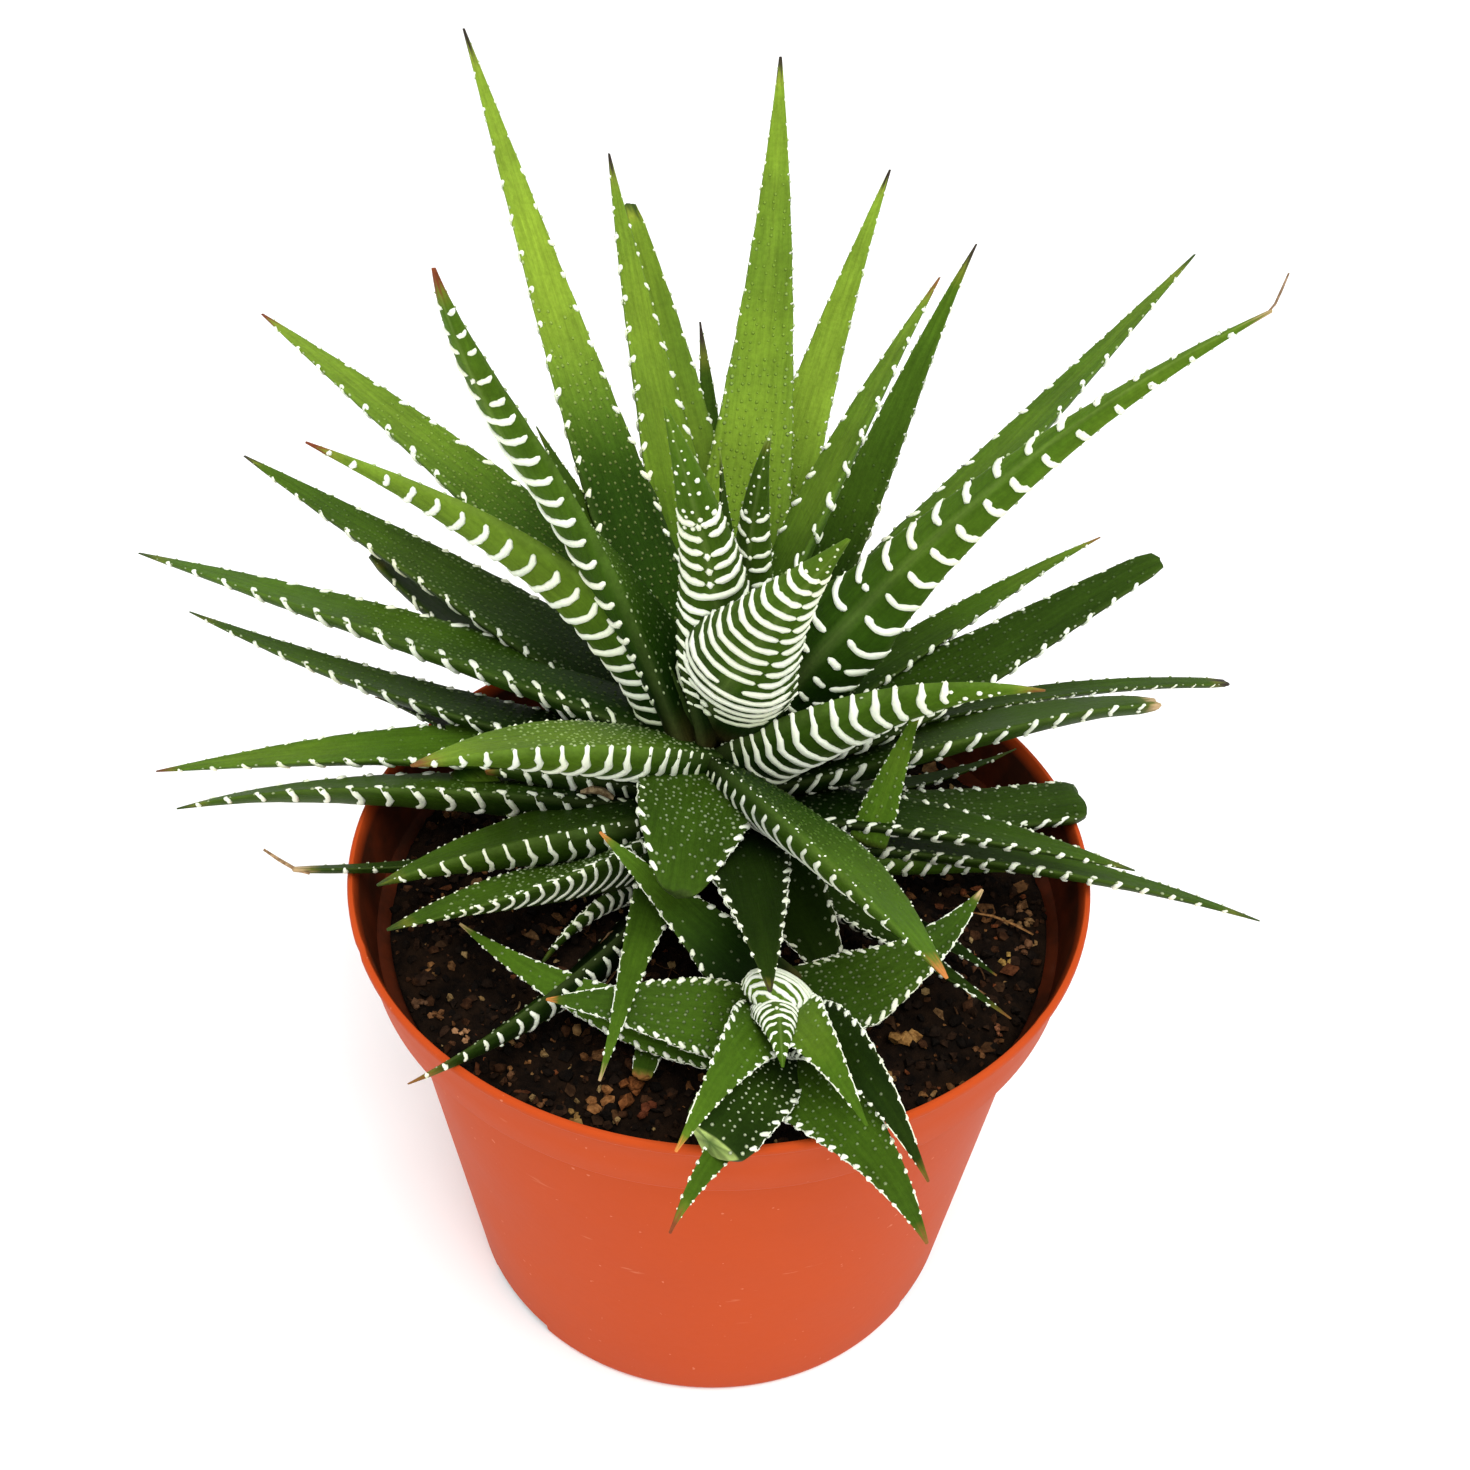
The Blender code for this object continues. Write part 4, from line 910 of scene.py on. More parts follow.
def leaf_material():
    m = Nodes("leaf_skin")
    tint = m.attribute("tint").outputs["Color"]
    wax = m.attribute("wax").outputs["Fac"]
    grain = m.attribute("grain").outputs["Vector"]
    here = m.here()
    streak = m.noise(m.scaled(grain, (1.5, 0.10, 1.0)), 1.0, 4.0, 0.6)
    cloud = m.noise(here, 95.0, 3.0, 0.55)
    speck = m.noise(here, 1400.0, 2.0, 0.5)
    vary = m.math('MULTIPLY', m.spread(streak, 0.3, 0.7, 0.82, 1.18), m.spread(cloud, 0.3, 0.7, 0.84, 1.16))
    vary = m.math('MULTIPLY', vary, m.spread(speck, 0.35, 0.65, 0.93, 1.07))
    calm = m.math('MULTIPLY', m.math('SUBTRACT', vary, 1.0), m.math('SUBTRACT', 1.0, m.math('MULTIPLY', wax, 0.72)))
    shade = m.math('ADD', calm, 1.0)
    grey = m.new("ShaderNodeCombineColor")
    for i in range(3):
        m.link(shade, grey.inputs[i])
    colour = m.mix(1.0, tint, grey.outputs[0], 'MULTIPLY')
    warm = m.mix(m.spread(m.noise(here, 38.0, 2.0), 0.45, 0.75, 0.0, 0.22), colour,
                 m.mix(1.0, colour, (1.25, 1.06, 0.55), 'MULTIPLY'))
    m.link(warm, m.shader.inputs["Base Color"])
    rough = m.math('ADD', m.spread(cloud, 0.3, 0.7, 0.46, 0.60), m.math('MULTIPLY', wax, 0.10))
    m.link(rough, m.shader.inputs["Roughness"])
    fine = m.bump(m.noise(here, 900.0, 3.0, 0.6), 0.22, 0.0006)
    lines = m.bump(m.noise(m.scaled(grain, (3.2, 0.16, 1.0)), 1.0, 3.0, 0.6), 0.20, 0.0007, fine)
    m.link(lines, m.shader.inputs["Normal"])
    m.set(Subsurface_Weight=0.05, Subsurface_Scale=0.0010)
    m.shader.inputs["Subsurface Radius"].default_value = (0.5, 1.0, 0.2)
    m.shader.inputs["Specular IOR Level"].default_value = 0.05
    m.shader.inputs["Specular Tint"].default_value = (0.62, 0.80, 0.40, 1.0)
    return m.mat


def pot_material():
    m = Nodes("pot_plastic")
    here = m.here()
    cloud = m.noise(here, 26.0, 3.0, 0.5)
    fine = m.noise(here, 520.0, 2.0, 0.5)
    base = m.mix(m.spread(cloud, 0.35, 0.70, 0.0, 1.0), (0.398, 0.0510, 0.0090), (0.424, 0.0580, 0.0115))
    base = m.mix(m.spread(fine, 0.3, 0.7, 0.0, 0.04), base, (0.56, 0.09, 0.02))
    # short pale scuffs, mostly level, where pots rub in a tray
    long_way = m.noise(m.scaled(here, (0.28, 0.28, 1.25)), 210.0, 3.0, 0.65)
    patch = m.noise(here, 34.0, 2.0, 0.5)
    scuff = m.math('MULTIPLY', m.spread(long_way, 0.660, 0.72, 0.0, 1.0), m.spread(patch, 0.50, 0.62, 0.0, 1.0))
    speck = m.spread(m.noise(here, 760.0, 1.0, 0.5), 0.760, 0.795, 0.0, 0.6)
    marks = m.math('MAXIMUM', scuff, speck)
    base = m.mix(m.math('MULTIPLY', marks, 0.42), base, (0.86, 0.46, 0.30))
    # soil stains and painted shade on the inside wall: darker from just below the rim down
    dirt_and_shade = m.attribute("dirt_and_shade").outputs["Fac"]
    stain_and_shade = m.math('MULTIPLY', dirt_and_shade, m.spread(m.noise(here, 120.0, 4.0, 0.6), 0.30, 0.62, 0.84, 1.0))
    base = m.mix(stain_and_shade, base, (0.034, 0.0100, 0.0050))
    m.link(base, m.shader.inputs["Base Color"])
    m.link(m.math('ADD', m.spread(cloud, 0.3, 0.7, 0.46, 0.56), m.math('MULTIPLY', marks, 0.25)),
           m.shader.inputs["Roughness"])
    skin = m.bump(m.noise(here, 640.0, 2.0, 0.5), 0.06, 0.0004)
    wavy = m.bump(m.noise(here, 60.0, 2.0, 0.5), 0.12, 0.0010, skin)
    m.link(wavy, m.shader.inputs["Normal"])
    m.shader.inputs["Specular IOR Level"].default_value = 0.04
    m.shader.inputs["Specular Tint"].default_value = (1.0, 0.62, 0.46, 1.0)
    return m.mat


def soil_material():
    m = Nodes("peat")
    here = m.here()
    clod = m.noise(here, 260.0, 5.0, 0.65)
    patch = m.noise(here, 60.0, 3.0, 0.6)
    base = m.mix(m.spread(clod, 0.36, 0.66, 0.0, 1.0), (0.0020, 0.0011, 0.0006), (0.0135, 0.0066, 0.0030))
    base = m.mix(m.spread(patch, 0.55, 0.75, 0.0, 0.35), base, (0.030, 0.0130, 0.0050))
    m.link(base, m.shader.inputs["Base Color"])
    m.set(Roughness=0.95)
    m.shader.inputs["Specular IOR Level"].default_value = 0.08
    rough = m.bump(clod, 0.9, 0.0016)
    m.link(m.bump(m.noise(here, 1100.0, 3.0, 0.6), 0.6, 0.0006, rough), m.shader.inputs["Normal"])
    return m.mat


def grain_material():
    m = Nodes("bark_and_pumice")
    here = m.here()
    tint = m.attribute("tint").outputs["Color"]
    n = m.noise(here, 900.0, 4.0, 0.65)
    dark = m.mix(1.0, tint, (0.42, 0.36, 0.30), 'MULTIPLY')
    m.link(m.mix(m.spread(n, 0.38, 0.62, 0.0, 1.0), dark, tint), m.shader.inputs["Base Color"])
    m.set(Roughness=0.88)
    m.shader.inputs["Specular IOR Level"].default_value = 0.10
    m.link(m.bump(n, 0.8, 0.0008), m.shader.inputs["Normal"])
    return m.mat


def stem_material():
    m = Nodes("old_stem")
    here = m.here()
    rings = m.noise(m.scaled(here, (0.4, 0.4, 4.0)), 260.0, 3.0, 0.6)
    base = m.mix(m.spread(rings, 0.35, 0.65, 0.0, 1.0), (0.035, 0.028, 0.010), (0.11, 0.10, 0.03))
    m.link(base, m.shader.inputs["Base Color"])
    m.set(Roughness=0.75)
    m.link(m.bump(rings, 0.5, 0.0010), m.shader.inputs["Normal"])
    return m.mat


def floor_material():
    m = Nodes("studio_floor")
    n = m.noise(m.here(), 3.0, 2.0, 0.5)
    m.link(m.mix(m.spread(n, 0.3, 0.7, 0.0, 1.0), (0.93, 0.93, 0.935), (0.945, 0.945, 0.95)),
           m.shader.inputs["Base Color"])
    m.set(Roughness=0.65)
    return m.mat


leaf_skin = leaf_material()
plastic = pot_material()
peat = soil_material()
grit = grain_material()
bark = stem_material()


def mesh_object(name, verts, faces, mat, smooth_angle=40.0, tint=None):
    me = bpy.data.meshes.new(name)
    me.from_pydata([tuple(v) for v in verts], [], faces)
    if tint is not None:
        at = me.attributes.new("tint", 'FLOAT_COLOR', 'POINT')
        rgba = np.concatenate((tint, np.ones((len(tint), 1))), 1)
        at.data.foreach_set("color", rgba.astype(np.float32).ravel())
    me.materials.append(mat)
    me.shade_smooth()
    if smooth_angle:
        me.set_sharp_from_angle(angle=math.radians(smooth_angle))
    me.validate()
    ob = bpy.data.objects.new(name, me)
    bpy.context.scene.collection.objects.link(ob)
    return ob


def turned(profile, sides, shift=None):
    """Revolve a profile that starts and ends on the axis; shift moves each point."""
    verts, rings = [], []
    for r, z in profile:
        if r < 1e-6:
            rings.append([len(verts)])
            verts.append(Vector((0.0, 0.0, z)))
            continue
        ring = []
        for i in range(sides):
            a = 2 * math.pi * i / sides
            ring.append(len(verts))
            verts.append(Vector((r * math.cos(a), r * math.sin(a), z)))
        rings.append(ring)
    if shift:
        verts = [shift(v) for v in verts]
    faces = []
    for a, b in zip(rings, rings[1:]):
        for i in range(sides):
            j = (i + 1) % sides
            if len(a) == 1:
                faces.append((a[0], b[j], b[i]))
            elif len(b) == 1:
                faces.append((a[i], a[j], b[0]))
            else:
                faces.append((a[i], a[j], b[j], b[i]))
    return [v * MM for v in verts], faces


# --------------------------------------------------------------------- pot ----
RIM_R, LIP_IN, POT_H = 60.0, 58.9, 90.5
COLLAR_H, COLLAR_R, LEDGE_H, WALL_TOP_R, BASE_R = 12.5, 57.9, 2.2, 54.3, 45.5
WALL, FLOOR_T = 1.3, 2.0
DRAIN_AT, DRAIN_W, DRAIN_H = (96.0, 220.0, 332.0), 17.0, 3.0

wall_z = POT_H - COLLAR_H - LEDGE_H
pot_profile = [(0.0, 0.9), (36.0, 0.9), (37.2, 0.0), (BASE_R - 1.6, 0.0), (BASE_R - 0.7, 0.35),
               (BASE_R - 0.15, 1.2)]
pot_profile += [(BASE_R + (WALL_TOP_R - BASE_R) * k / 9, 2.0 + (wall_z - 2.0) * k / 9) for k in range(10)]
pot_profile += [(WALL_TOP_R + 0.9, wall_z + 0.6), (COLLAR_R - 0.9, POT_H - COLLAR_H - 0.55),
                (COLLAR_R - 0.25, POT_H - COLLAR_H - 0.1), (COLLAR_R, POT_H - COLLAR_H + 0.4),
                (COLLAR_R + 0.5, POT_H - 7.0), (COLLAR_R + 1.05, POT_H - 2.6),
                (COLLAR_R + 1.2, POT_H - 2.1), (RIM_R - 0.2, POT_H - 1.7), (RIM_R, POT_H - 1.3),
                (RIM_R, POT_H - 0.6), (RIM_R - 0.12, POT_H - 0.25), (RIM_R - 0.35, POT_H - 0.05),
                (RIM_R - 0.55, POT_H), (LIP_IN + 0.25, POT_H - 0.04), (LIP_IN + 0.08, POT_H - 0.25),
                (LIP_IN, POT_H - 0.8), (LIP_IN - 0.7, POT_H - 2.4), (COLLAR_R - WALL, POT_H - COLLAR_H + 0.4),
                (WALL_TOP_R - WALL + 0.1, wall_z - 0.2), (WALL_TOP_R - WALL - 0.3, wall_z - 3.0)]
pot_profile += [(BASE_R - WALL + (WALL_TOP_R - BASE_R) * k / 4, FLOOR_T + 1.0 + (POT_H - COLLAR_H - 6 - FLOOR_T) * k / 4)
                for k in (3, 2, 1, 0)]
pot_profile += [(BASE_R - WALL - 1.0, FLOOR_T), (0.0, FLOOR_T)]


def pot_shift(v):
    """Thin plastic is never quite true: the rim is a little out of round and wavy."""
    r = math.hypot(v.x, v.y)
    if r < 1e-6:
        return v
    a = math.atan2(v.y, v.x)
    k = max(0.0, (v.z - 20.0) / (POT_H - 20.0)) ** 2
    out = k * (0.16 * math.sin(2 * a + 0.6) + 0.09 * math.sin(3 * a - 1.1) + 0.04 * math.sin(7 * a))
    z = v.z
    if v.z > POT_H - 2.4:
        z += 0.05 * math.sin(5 * a + 0.4) + 0.03 * math.sin(13 * a)
        nick = 0.0
        for where, deep, span in ((-2.72, 0.55, 0.018), (-2.05, 0.45, 0.014), (-1.95, 0.30, 0.010), (-0.62, 0.35, 0.012)):
            nick += deep * math.exp(-((a - where) / span) ** 2)
        out -= nick * 0.35
        z -= nick * 0.5 if v.z > POT_H - 0.7 else 0.0
    return Vector((v.x * (r + out) / r, v.y * (r + out) / r, z))


verts, faces = turned(pot_profile, 192, pot_shift)
pot = mesh_object("nursery_pot", verts, faces, plastic, 38.0)
cutters = []
for heading in DRAIN_AT:
    a = math.radians(heading)
    bpy.ops.mesh.primitive_cube_add(size=1.0)
    cut = bpy.context.object
    cut.scale = (8.0 * MM, DRAIN_W * MM, 2 * DRAIN_H * MM)
    cut.location = ((BASE_R - 1.0) * MM * math.cos(a), (BASE_R - 1.0) * MM * math.sin(a), 0.0)
    cut.rotation_euler = (0.0, 0.0, a)
    cutters.append(cut)
    mod = pot.modifiers.new("drain", 'BOOLEAN')
    mod.operation = 'DIFFERENCE'
    mod.object = cut
bpy.context.view_layer.update()
cut_mesh = bpy.data.meshes.new_from_object(pot.evaluated_get(bpy.context.evaluated_depsgraph_get()))
pot.modifiers.clear()
pot.data = cut_mesh
# the inside wall is marked for darkening from just below the rim down: partly soil stains, partly painted shade inside
# the pot
dirt_and_shade = []
for v in cut_mesh.vertices:
    r, z = math.hypot(v.co.x, v.co.y) / MM, v.co.z / MM
    skin = float(np.interp(z, (0.0, wall_z, POT_H - COLLAR_H + 0.4, POT_H - 2.1, POT_H),
                           (BASE_R, WALL_TOP_R, COLLAR_R, COLLAR_R + 1.2, RIM_R)))
    inside = r < skin - 0.60
    dirt_and_shade.append(float(smooth(POT_H - 0.3, POT_H - 2.2, z)) if inside and z > 1.5 else 0.0)
cut_mesh.attributes.new("dirt_and_shade", 'FLOAT', 'POINT').data.foreach_set("value", dirt_and_shade)
for cut in cutters:
    bpy.data.objects.remove(cut, do_unlink=True)
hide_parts("pot")
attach(pot, "root")


# -------------------------------------------------------------------- soil ----
def soil_height(x, y):
    swell = (math.sin(x * 0.13 + 0.7) * math.cos(y * 0.11 - 0.4)
             + 0.6 * math.sin(x * 0.071 - y * 0.19 + 2.1)) * SOIL_SWELL * 0.62
    return SOIL_Z + swell


def soil_top(x, y):
    p = Vector((x * 0.16, y * 0.16, 3.1))
    lumps = noise.fractal(p, 0.7, 2.1, 5)
    crumbs = noise.noise(Vector((x * 0.95, y * 0.95, 7.7)))
    pits = abs(noise.noise(Vector((x * 0.42, y * 0.42, 1.3))))
    r = math.hypot(x, y)
    edge = 0.4 * float(smooth(50.0, 55.0, r))
    return soil_height(x, y) + 1.05 * lumps + 0.55 * crumbs - 1.1 * pits - edge + 0.5


def soil_inner(z):
    z0, z1 = FLOOR_T + 1.0, wall_z - 0.4
    if z > z1:
        return WALL_TOP_R - WALL + (COLLAR_R - WALL_TOP_R) * min((z - z1) / (LEDGE_H + 0.8), 1.0)
    return (BASE_R - WALL) + (WALL_TOP_R - BASE_R) * (z - z0) / (z1 - z0)


rad = [soil_inner(SOIL_Z - 1) - 0.30 - 0.62 * k for k in range(88)]
rad = [r for r in rad if r > 0.7]
soil_profile = [(0.0, 5.4), (soil_inner(5.4) - 1.2, 5.4), (soil_inner(6.6) - 0.4, 6.6)]
soil_profile += [(soil_inner(z) - 0.4, z) for z in (24.0, 42.0, 60.0, 70.0, SOIL_Z - 3.2)]
soil_profile += [(r, SOIL_Z) for r in rad] + [(0.0, SOIL_Z)]


def soil_shift(v):
    if v.z > SOIL_Z - 0.5:
        return Vector((v.x, v.y, soil_top(v.x, v.y)))
    return v


verts, faces = turned(soil_profile, 200, soil_shift)
soil = mesh_object("potting_soil", verts, faces, peat, 0)
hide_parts("soil")
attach(soil, "root")

# loose grains: peat crumbs, bark chips, pumice and a few strands
ICO = []
g = (1 + 5 ** 0.5) / 2
for s1 in (-1, 1):
    for s2 in (-1, 1):
        ICO += [(0, s1, s2 * g), (s1, s2 * g, 0), (s2 * g, 0, s1)]
ICO = np.array(ICO) / math.hypot(1, g)


def hull_faces(points):
    """Triangles of the icosahedron, facing out."""
    out = []
    n = len(points)
    for i in range(n):
        for j in range(i + 1, n):
            for k in range(j + 1, n):
                e = [np.linalg.norm(points[a] - points[b]) for a, b in ((i, j), (j, k), (i, k))]
                if max(e) < 1.2:
                    m = np.cross(points[j] - points[i], points[k] - points[i])
                    out.append((i, j, k) if m @ points[i] > 0 else (i, k, j))
    return out


ICO_FACES = hull_faces(ICO)


class Grains:
    def __init__(self, seed):
        self.rng = np.random.default_rng(seed)
        self.verts, self.faces, self.tints = [], [], []

    def stone(self, at, size, colour, sharp=0.25, flat=0.8):
        rng = self.rng
        q = rng.normal(size=4)
        q /= np.linalg.norm(q)
        w, x, y, z = q
        rot = np.array(((1 - 2 * (y * y + z * z), 2 * (x * y - z * w), 2 * (x * z + y * w)),
                        (2 * (x * y + z * w), 1 - 2 * (x * x + z * z), 2 * (y * z - x * w)),
                        (2 * (x * z - y * w), 2 * (y * z + x * w), 1 - 2 * (x * x + y * y))))
        p = ICO * (1 + sharp * (rng.random((12, 1)) - 0.5) * 2) * (np.array(size) / 2)
        p = p @ rot.T
        p[:, 2] *= flat
        first = len(self.verts)
        self.verts.extend((p + np.array(at)).tolist())
        self.faces.extend(tuple(i + first for i in f) for f in ICO_FACES)
        for _ in range(12):
            self.tints.append(np.clip(np.array(colour) * (0.8 + 0.4 * rng.random()), 0, 1))

    def strand(self, path, radius, colour):
        path = np.array(path, float)
        n = len(path)
        d = np.gradient(path, axis=0)
        d /= np.linalg.norm(d, axis=1)[:, None]
        s = np.cross(d, (0.1, 0.2, 1.0))
        s /= np.linalg.norm(s, axis=1)[:, None]
        u = np.cross(s, d)
        first = len(self.verts)
        for i in range(n):
            r = radius * (0.35 + 0.65 * math.sin(math.pi * (i + 0.6) / (n + 0.2)))
            for j in range(5):
                a = 2 * math.pi * j / 5
                self.verts.append((path[i] + s[i] * r * math.cos(a) + u[i] * r * 0.7 * math.sin(a)).tolist())
                self.tints.append(np.array(colour) * (0.8 + 0.4 * self.rng.random()))
        for i in range(n - 1):
            for j in range(5):
                k = (j + 1) % 5
                self.faces.append((first + i * 5 + j, first + i * 5 + k, first + (i + 1) * 5 + k, first + (i + 1) * 5 + j))
        self.faces.append(tuple(first + j for j in range(4, -1, -1)))
        self.faces.append(tuple(first + (n - 1) * 5 + j for j in range(5)))

    def make(self, name):
        ob = mesh_object(name, [Vector(v) * MM for v in self.verts], self.faces, grit, 50.0, np.array(self.tints))
        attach(ob, "root")
        return ob


PEAT = ((0.005, 0.0028, 0.0014), (0.012, 0.0062, 0.0030), (0.026, 0.0120, 0.0052), (0.008, 0.0044, 0.0022),
        (0.050, 0.020, 0.0075))
CHIPS = ((0.26, 0.12, 0.040), (0.16, 0.070, 0.024), (0.30, 0.17, 0.065), (0.10, 0.042, 0.018),
         (0.36, 0.24, 0.10), (0.20, 0.060, 0.020))


def spot(rng, limit):
    r, a = limit * math.sqrt(rng.random()), rng.random() * 2 * math.pi
    return r * math.cos(a), r * math.sin(a)


crumbs = Grains(11)
for i in range(3600):
    x, y = spot(crumbs.rng, 54.4)
    size = 0.55 + 1.9 * crumbs.rng.random() ** 2.2
    crumbs.stone((x, y, soil_top(x, y) + size * 0.20), (size, size * (0.6 + 0.5 * crumbs.rng.random()), size * 0.8),
                 PEAT[int(crumbs.rng.integers(len(PEAT)))], 0.40)
crumbs.make("peat_crumbs")

chips = Grains(23)
for i in range(620):
    x, y = spot(chips.rng, 53.6)
    size = 0.6 + 1.9 * chips.rng.random() ** 2.6
    chips.stone((x, y, soil_top(x, y) + size * 0.14), (size, size * (0.45 + 0.5 * chips.rng.random()), size * 0.55),
                CHIPS[int(chips.rng.integers(len(CHIPS)))], 0.40)
# thin torn flakes of bark and leaf mould
for i in range(150):
    x, y = spot(chips.rng, 52.5)
    size = 1.8 + 2.0 * chips.rng.random()
    colour = ((0.050, 0.024, 0.010), (0.085, 0.038, 0.014), (0.140, 0.066, 0.024), (0.200, 0.110, 0.045),
              (0.030, 0.014, 0.007), (0.110, 0.036, 0.013))[int(chips.rng.integers(6))]
    chips.stone((x, y, soil_top(x, y) + 0.30), (size, size * (0.35 + 0.4 * chips.rng.random()), size * 0.7),
                colour, 0.55, 0.32)
# the larger pieces: place on the soil (x, y), size, colour
BIG = (((-17.0, -42.8), 4.4, (0.34, 0.15, 0.05)), ((-12.0, -42.0), 5.2, (0.20, 0.070, 0.020)),
       ((-19.8, -45.4), 3.0, (0.30, 0.17, 0.05)), ((-9.4, -44.6), 3.6, (0.16, 0.045, 0.018)),
       ((29.3, -29.4), 5.0, (0.38, 0.20, 0.06)), ((26.5, -37.0), 3.0, (0.30, 0.17, 0.06)),
       ((51.6, -1.2), 4.0, (0.24, 0.12, 0.05)), ((51.0, -4.4), 3.0, (0.30, 0.17, 0.07)),
       ((46.6, -12.9), 2.6, (0.42, 0.26, 0.07)), ((50.0, -10.0), 3.0, (0.16, 0.075, 0.035)),
       ((-39.2, -30.8), 3.0, (0.40, 0.21, 0.10)), ((-43.5, -27.0), 2.4, (0.20, 0.09, 0.035)),
       ((-46.3, -25.1), 2.6, (0.12, 0.06, 0.03)), ((-24.9, -43.6), 2.8, (0.20, 0.09, 0.035)),
       ((-49.0, -9.0), 2.6, (0.09, 0.045, 0.025)), ((-31.0, -40.0), 2.2, (0.15, 0.07, 0.03)),
       ((32.5, -40.5), 2.2, (0.20, 0.085, 0.04)), ((40.5, -31.5), 2.4, (0.18, 0.08, 0.03)),
       ((44.5, -26.5), 2.2, (0.28, 0.11, 0.05)), ((-3.0, 46.0), 3.2, (0.22, 0.10, 0.04)),
       ((22.0, 44.0), 3.6, (0.26, 0.14, 0.06)), ((-30.0, 40.0), 3.0, (0.32, 0.20, 0.08)),
       ((-48.0, 18.0), 2.8, (0.18, 0.08, 0.03)), ((44.0, 26.0), 3.2, (0.22, 0.11, 0.05)))
for (x, y), size, colour in BIG:
    for k in range(5):
        dx, dy = (chips.rng.random(2) - 0.5) * size * 0.75
        s = size * (0.34 + 0.34 * chips.rng.random())
        chips.stone((x + dx, y + dy, soil_top(x + dx, y + dy) + s * 0.26), (s, s * 0.8, s * 0.75), colour, 0.34)
for i in range(60):
    x, y = spot(chips.rng, 50.0)
    b, bend, run = chips.rng.random() * 6.28, chips.rng.random() - 0.5, 2.0 + 4.0 * chips.rng.random()
    path = []
    for k in range(7):
        u = k / 6 - 0.5
        px, py = x + run * u * math.cos(b + bend * u), y + run * u * math.sin(b + bend * u)
        path.append((px, py, soil_top(px, py) + 0.30 + 0.25 * math.sin(k)))
    chips.strand(path, 0.12 + 0.10 * chips.rng.random(), (0.085, 0.040, 0.016) if i % 4 else (0.22, 0.13, 0.055))
# a long dry strand at the right and fibres at the left of the offset
for path, r, colour in ((((42.0, -4.0, 80.6), (45.0, -5.2, 81.2), (48.5, -6.6, 80.8), (51.5, -8.4, 80.4)), 0.30,
                         (0.34, 0.17, 0.06)),
                        (((-14.7, -11.0, 82.5), (-16.4, -15.0, 83.4), (-18.4, -19.0, 82.6), (-21.0, -22.6, 80.6)), 0.32,
                         (0.30, 0.20, 0.10)),
                        (((-12.6, -12.0, 82.0), (-14.6, -16.0, 83.0), (-15.6, -20.0, 82.2), (-19.0, -25.0, 80.4)), 0.24,
                         (0.24, 0.13, 0.06)),
                        (((-13.6, -9.0, 81.6), (-17.6, -13.0, 82.6), (-20.6, -18.0, 81.4), (-22.4, -25.0, 80.2)), 0.20,
                         (0.20, 0.12, 0.06))):
    chips.strand(path, r, colour)
chips.make("bark_chips")

# ------------------------------------------------------------------- stems ----
for name, node, (cx, cy), r, top in (("rosette_stem", "main_stem", MAIN_AXIS, MAIN_R, MAIN_TOP),
                                     ("small_stem", "offset_stem", PUP_AXIS, PUP_R, PUP_TOP)):
    prof = [(0.0, SOIL_Z - 1.5)]
    z = SOIL_Z - 1.5
    while z < top:
        k = r * (1.0 - 0.45 * float(smooth(top - 12.0, top, z)))
        prof.append((k * (1.0 + 0.05 * math.sin(z * 1.7)), z))
        z += 0.8
    prof.append((0.0, top + 0.6))
    verts, faces = turned(prof, 40, lambda v, k=r: Vector((v.x + 0.18 * noise.noise(v * 0.5), v.y + 0.18 * noise.noise(v * 0.5 + Vector((5, 5, 5))), v.z)))
    verts = [v + Vector((cx, cy, 0)) * MM for v in verts]
    ob = mesh_object(name, verts, faces, bark, 60.0)
    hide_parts(node)
    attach(ob, "root")

# ------------------------------------------------------------------ leaves ----
for node, row in LEAVES.items():
    look = dict(PLAIN)
    look.update(LOOK_OF.get(node, {}))
    ob = Blade(node.replace("leaf", "blade"), row, look).build(leaf_skin)
    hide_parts(node)
    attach(ob, "root")

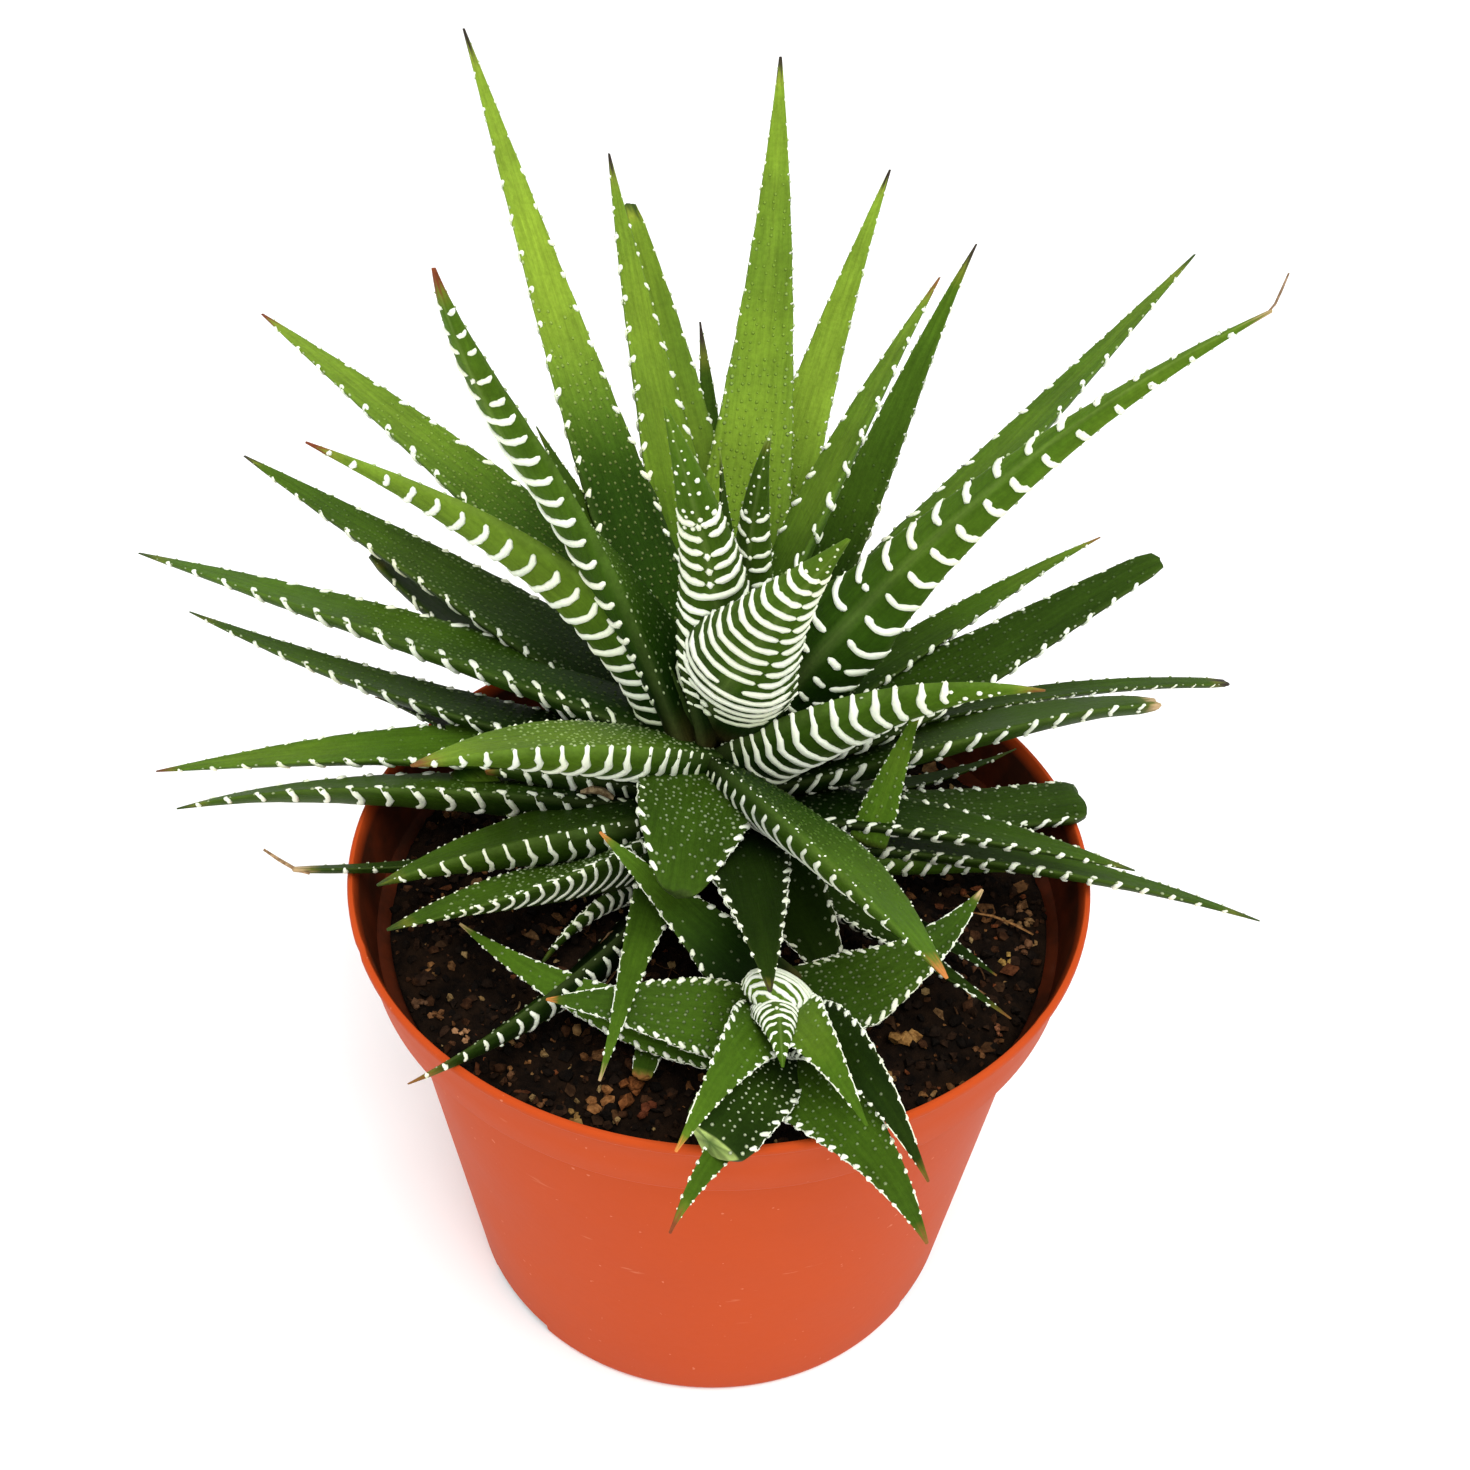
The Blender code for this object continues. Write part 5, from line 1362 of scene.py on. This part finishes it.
for name, (tip, arch, bow, width, roll, end, own) in EXTRA.items():
    look = dict(PLAIN)
    look.update(own)
    ob = Blade(name, ("soil", 0, 0, tip, arch, bow, width, roll, end), look).build(leaf_skin)
    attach(ob, "root")

# withered ends of two leaves and a curled dry scale
dry = Grains(5)
for path, r, colour in ((((61.6, -15.8, 193.6), (62.3, -15.6, 194.6), (62.7, -15.4, 196.2), (63.2, -15.0, 198.2)),
                         0.25, (0.30, 0.20, 0.12)),
                        (((-64.4, -12.0, 93.0), (-66.6, -11.4, 93.2), (-69.2, -10.6, 94.4), (-71.6, -10.0, 96.0)), 0.40,
                         (0.42, 0.28, 0.15)),
                        (((-23.0, 4.6, 97.0), (-21.4, 4.0, 98.2), (-19.6, 3.5, 98.3), (-17.8, 3.2, 97.2)), 0.95,
                         (0.40, 0.30, 0.17))):
    dry.strand(path, r, colour)
dry.make("dry_ends")

# ------------------------------------------------------- floor and lights ----
bpy.ops.mesh.primitive_plane_add(size=8.0)
floor = bpy.context.object
floor.name = "floor"
floor.data.materials.append(floor_material())


def area(name, at, aim, size, power, colour=(1.0, 1.0, 1.0)):
    data = bpy.data.lights.new(name, 'AREA')
    data.shape = 'DISK'
    data.size = size
    data.energy = power
    data.color = colour
    ob = bpy.data.objects.new(name, data)
    bpy.context.scene.collection.objects.link(ob)
    ob.location = at
    ob.rotation_euler = (Vector(aim) - Vector(at)).to_track_quat('-Z', 'Y').to_euler()


area("softbox", (0.40, -0.80, 2.30), (0.0, 0.0, 0.09), 1.7, 54.0, (1.0, 0.99, 0.975))
area("fill", (-1.5, -1.3, 1.3), (0.0, 0.0, 0.09), 1.4, 6.0, (0.98, 0.99, 1.0))
area("front", (0.15, -1.9, 0.90), (0.0, 0.0, 0.07), 1.5, 6.0, (1.0, 1.0, 1.0))
world = bpy.data.worlds.new("studio")
bpy.context.scene.world = world
world.use_nodes = True
world.node_tree.nodes["Background"].inputs["Color"].default_value = (1.0, 1.0, 1.0, 1.0)
world.node_tree.nodes["Background"].inputs["Strength"].default_value = 0.84
bpy.context.scene.view_settings.view_transform = 'Standard'
bpy.context.scene.view_settings.look = 'None'
bpy.context.scene.view_settings.exposure = 0.0
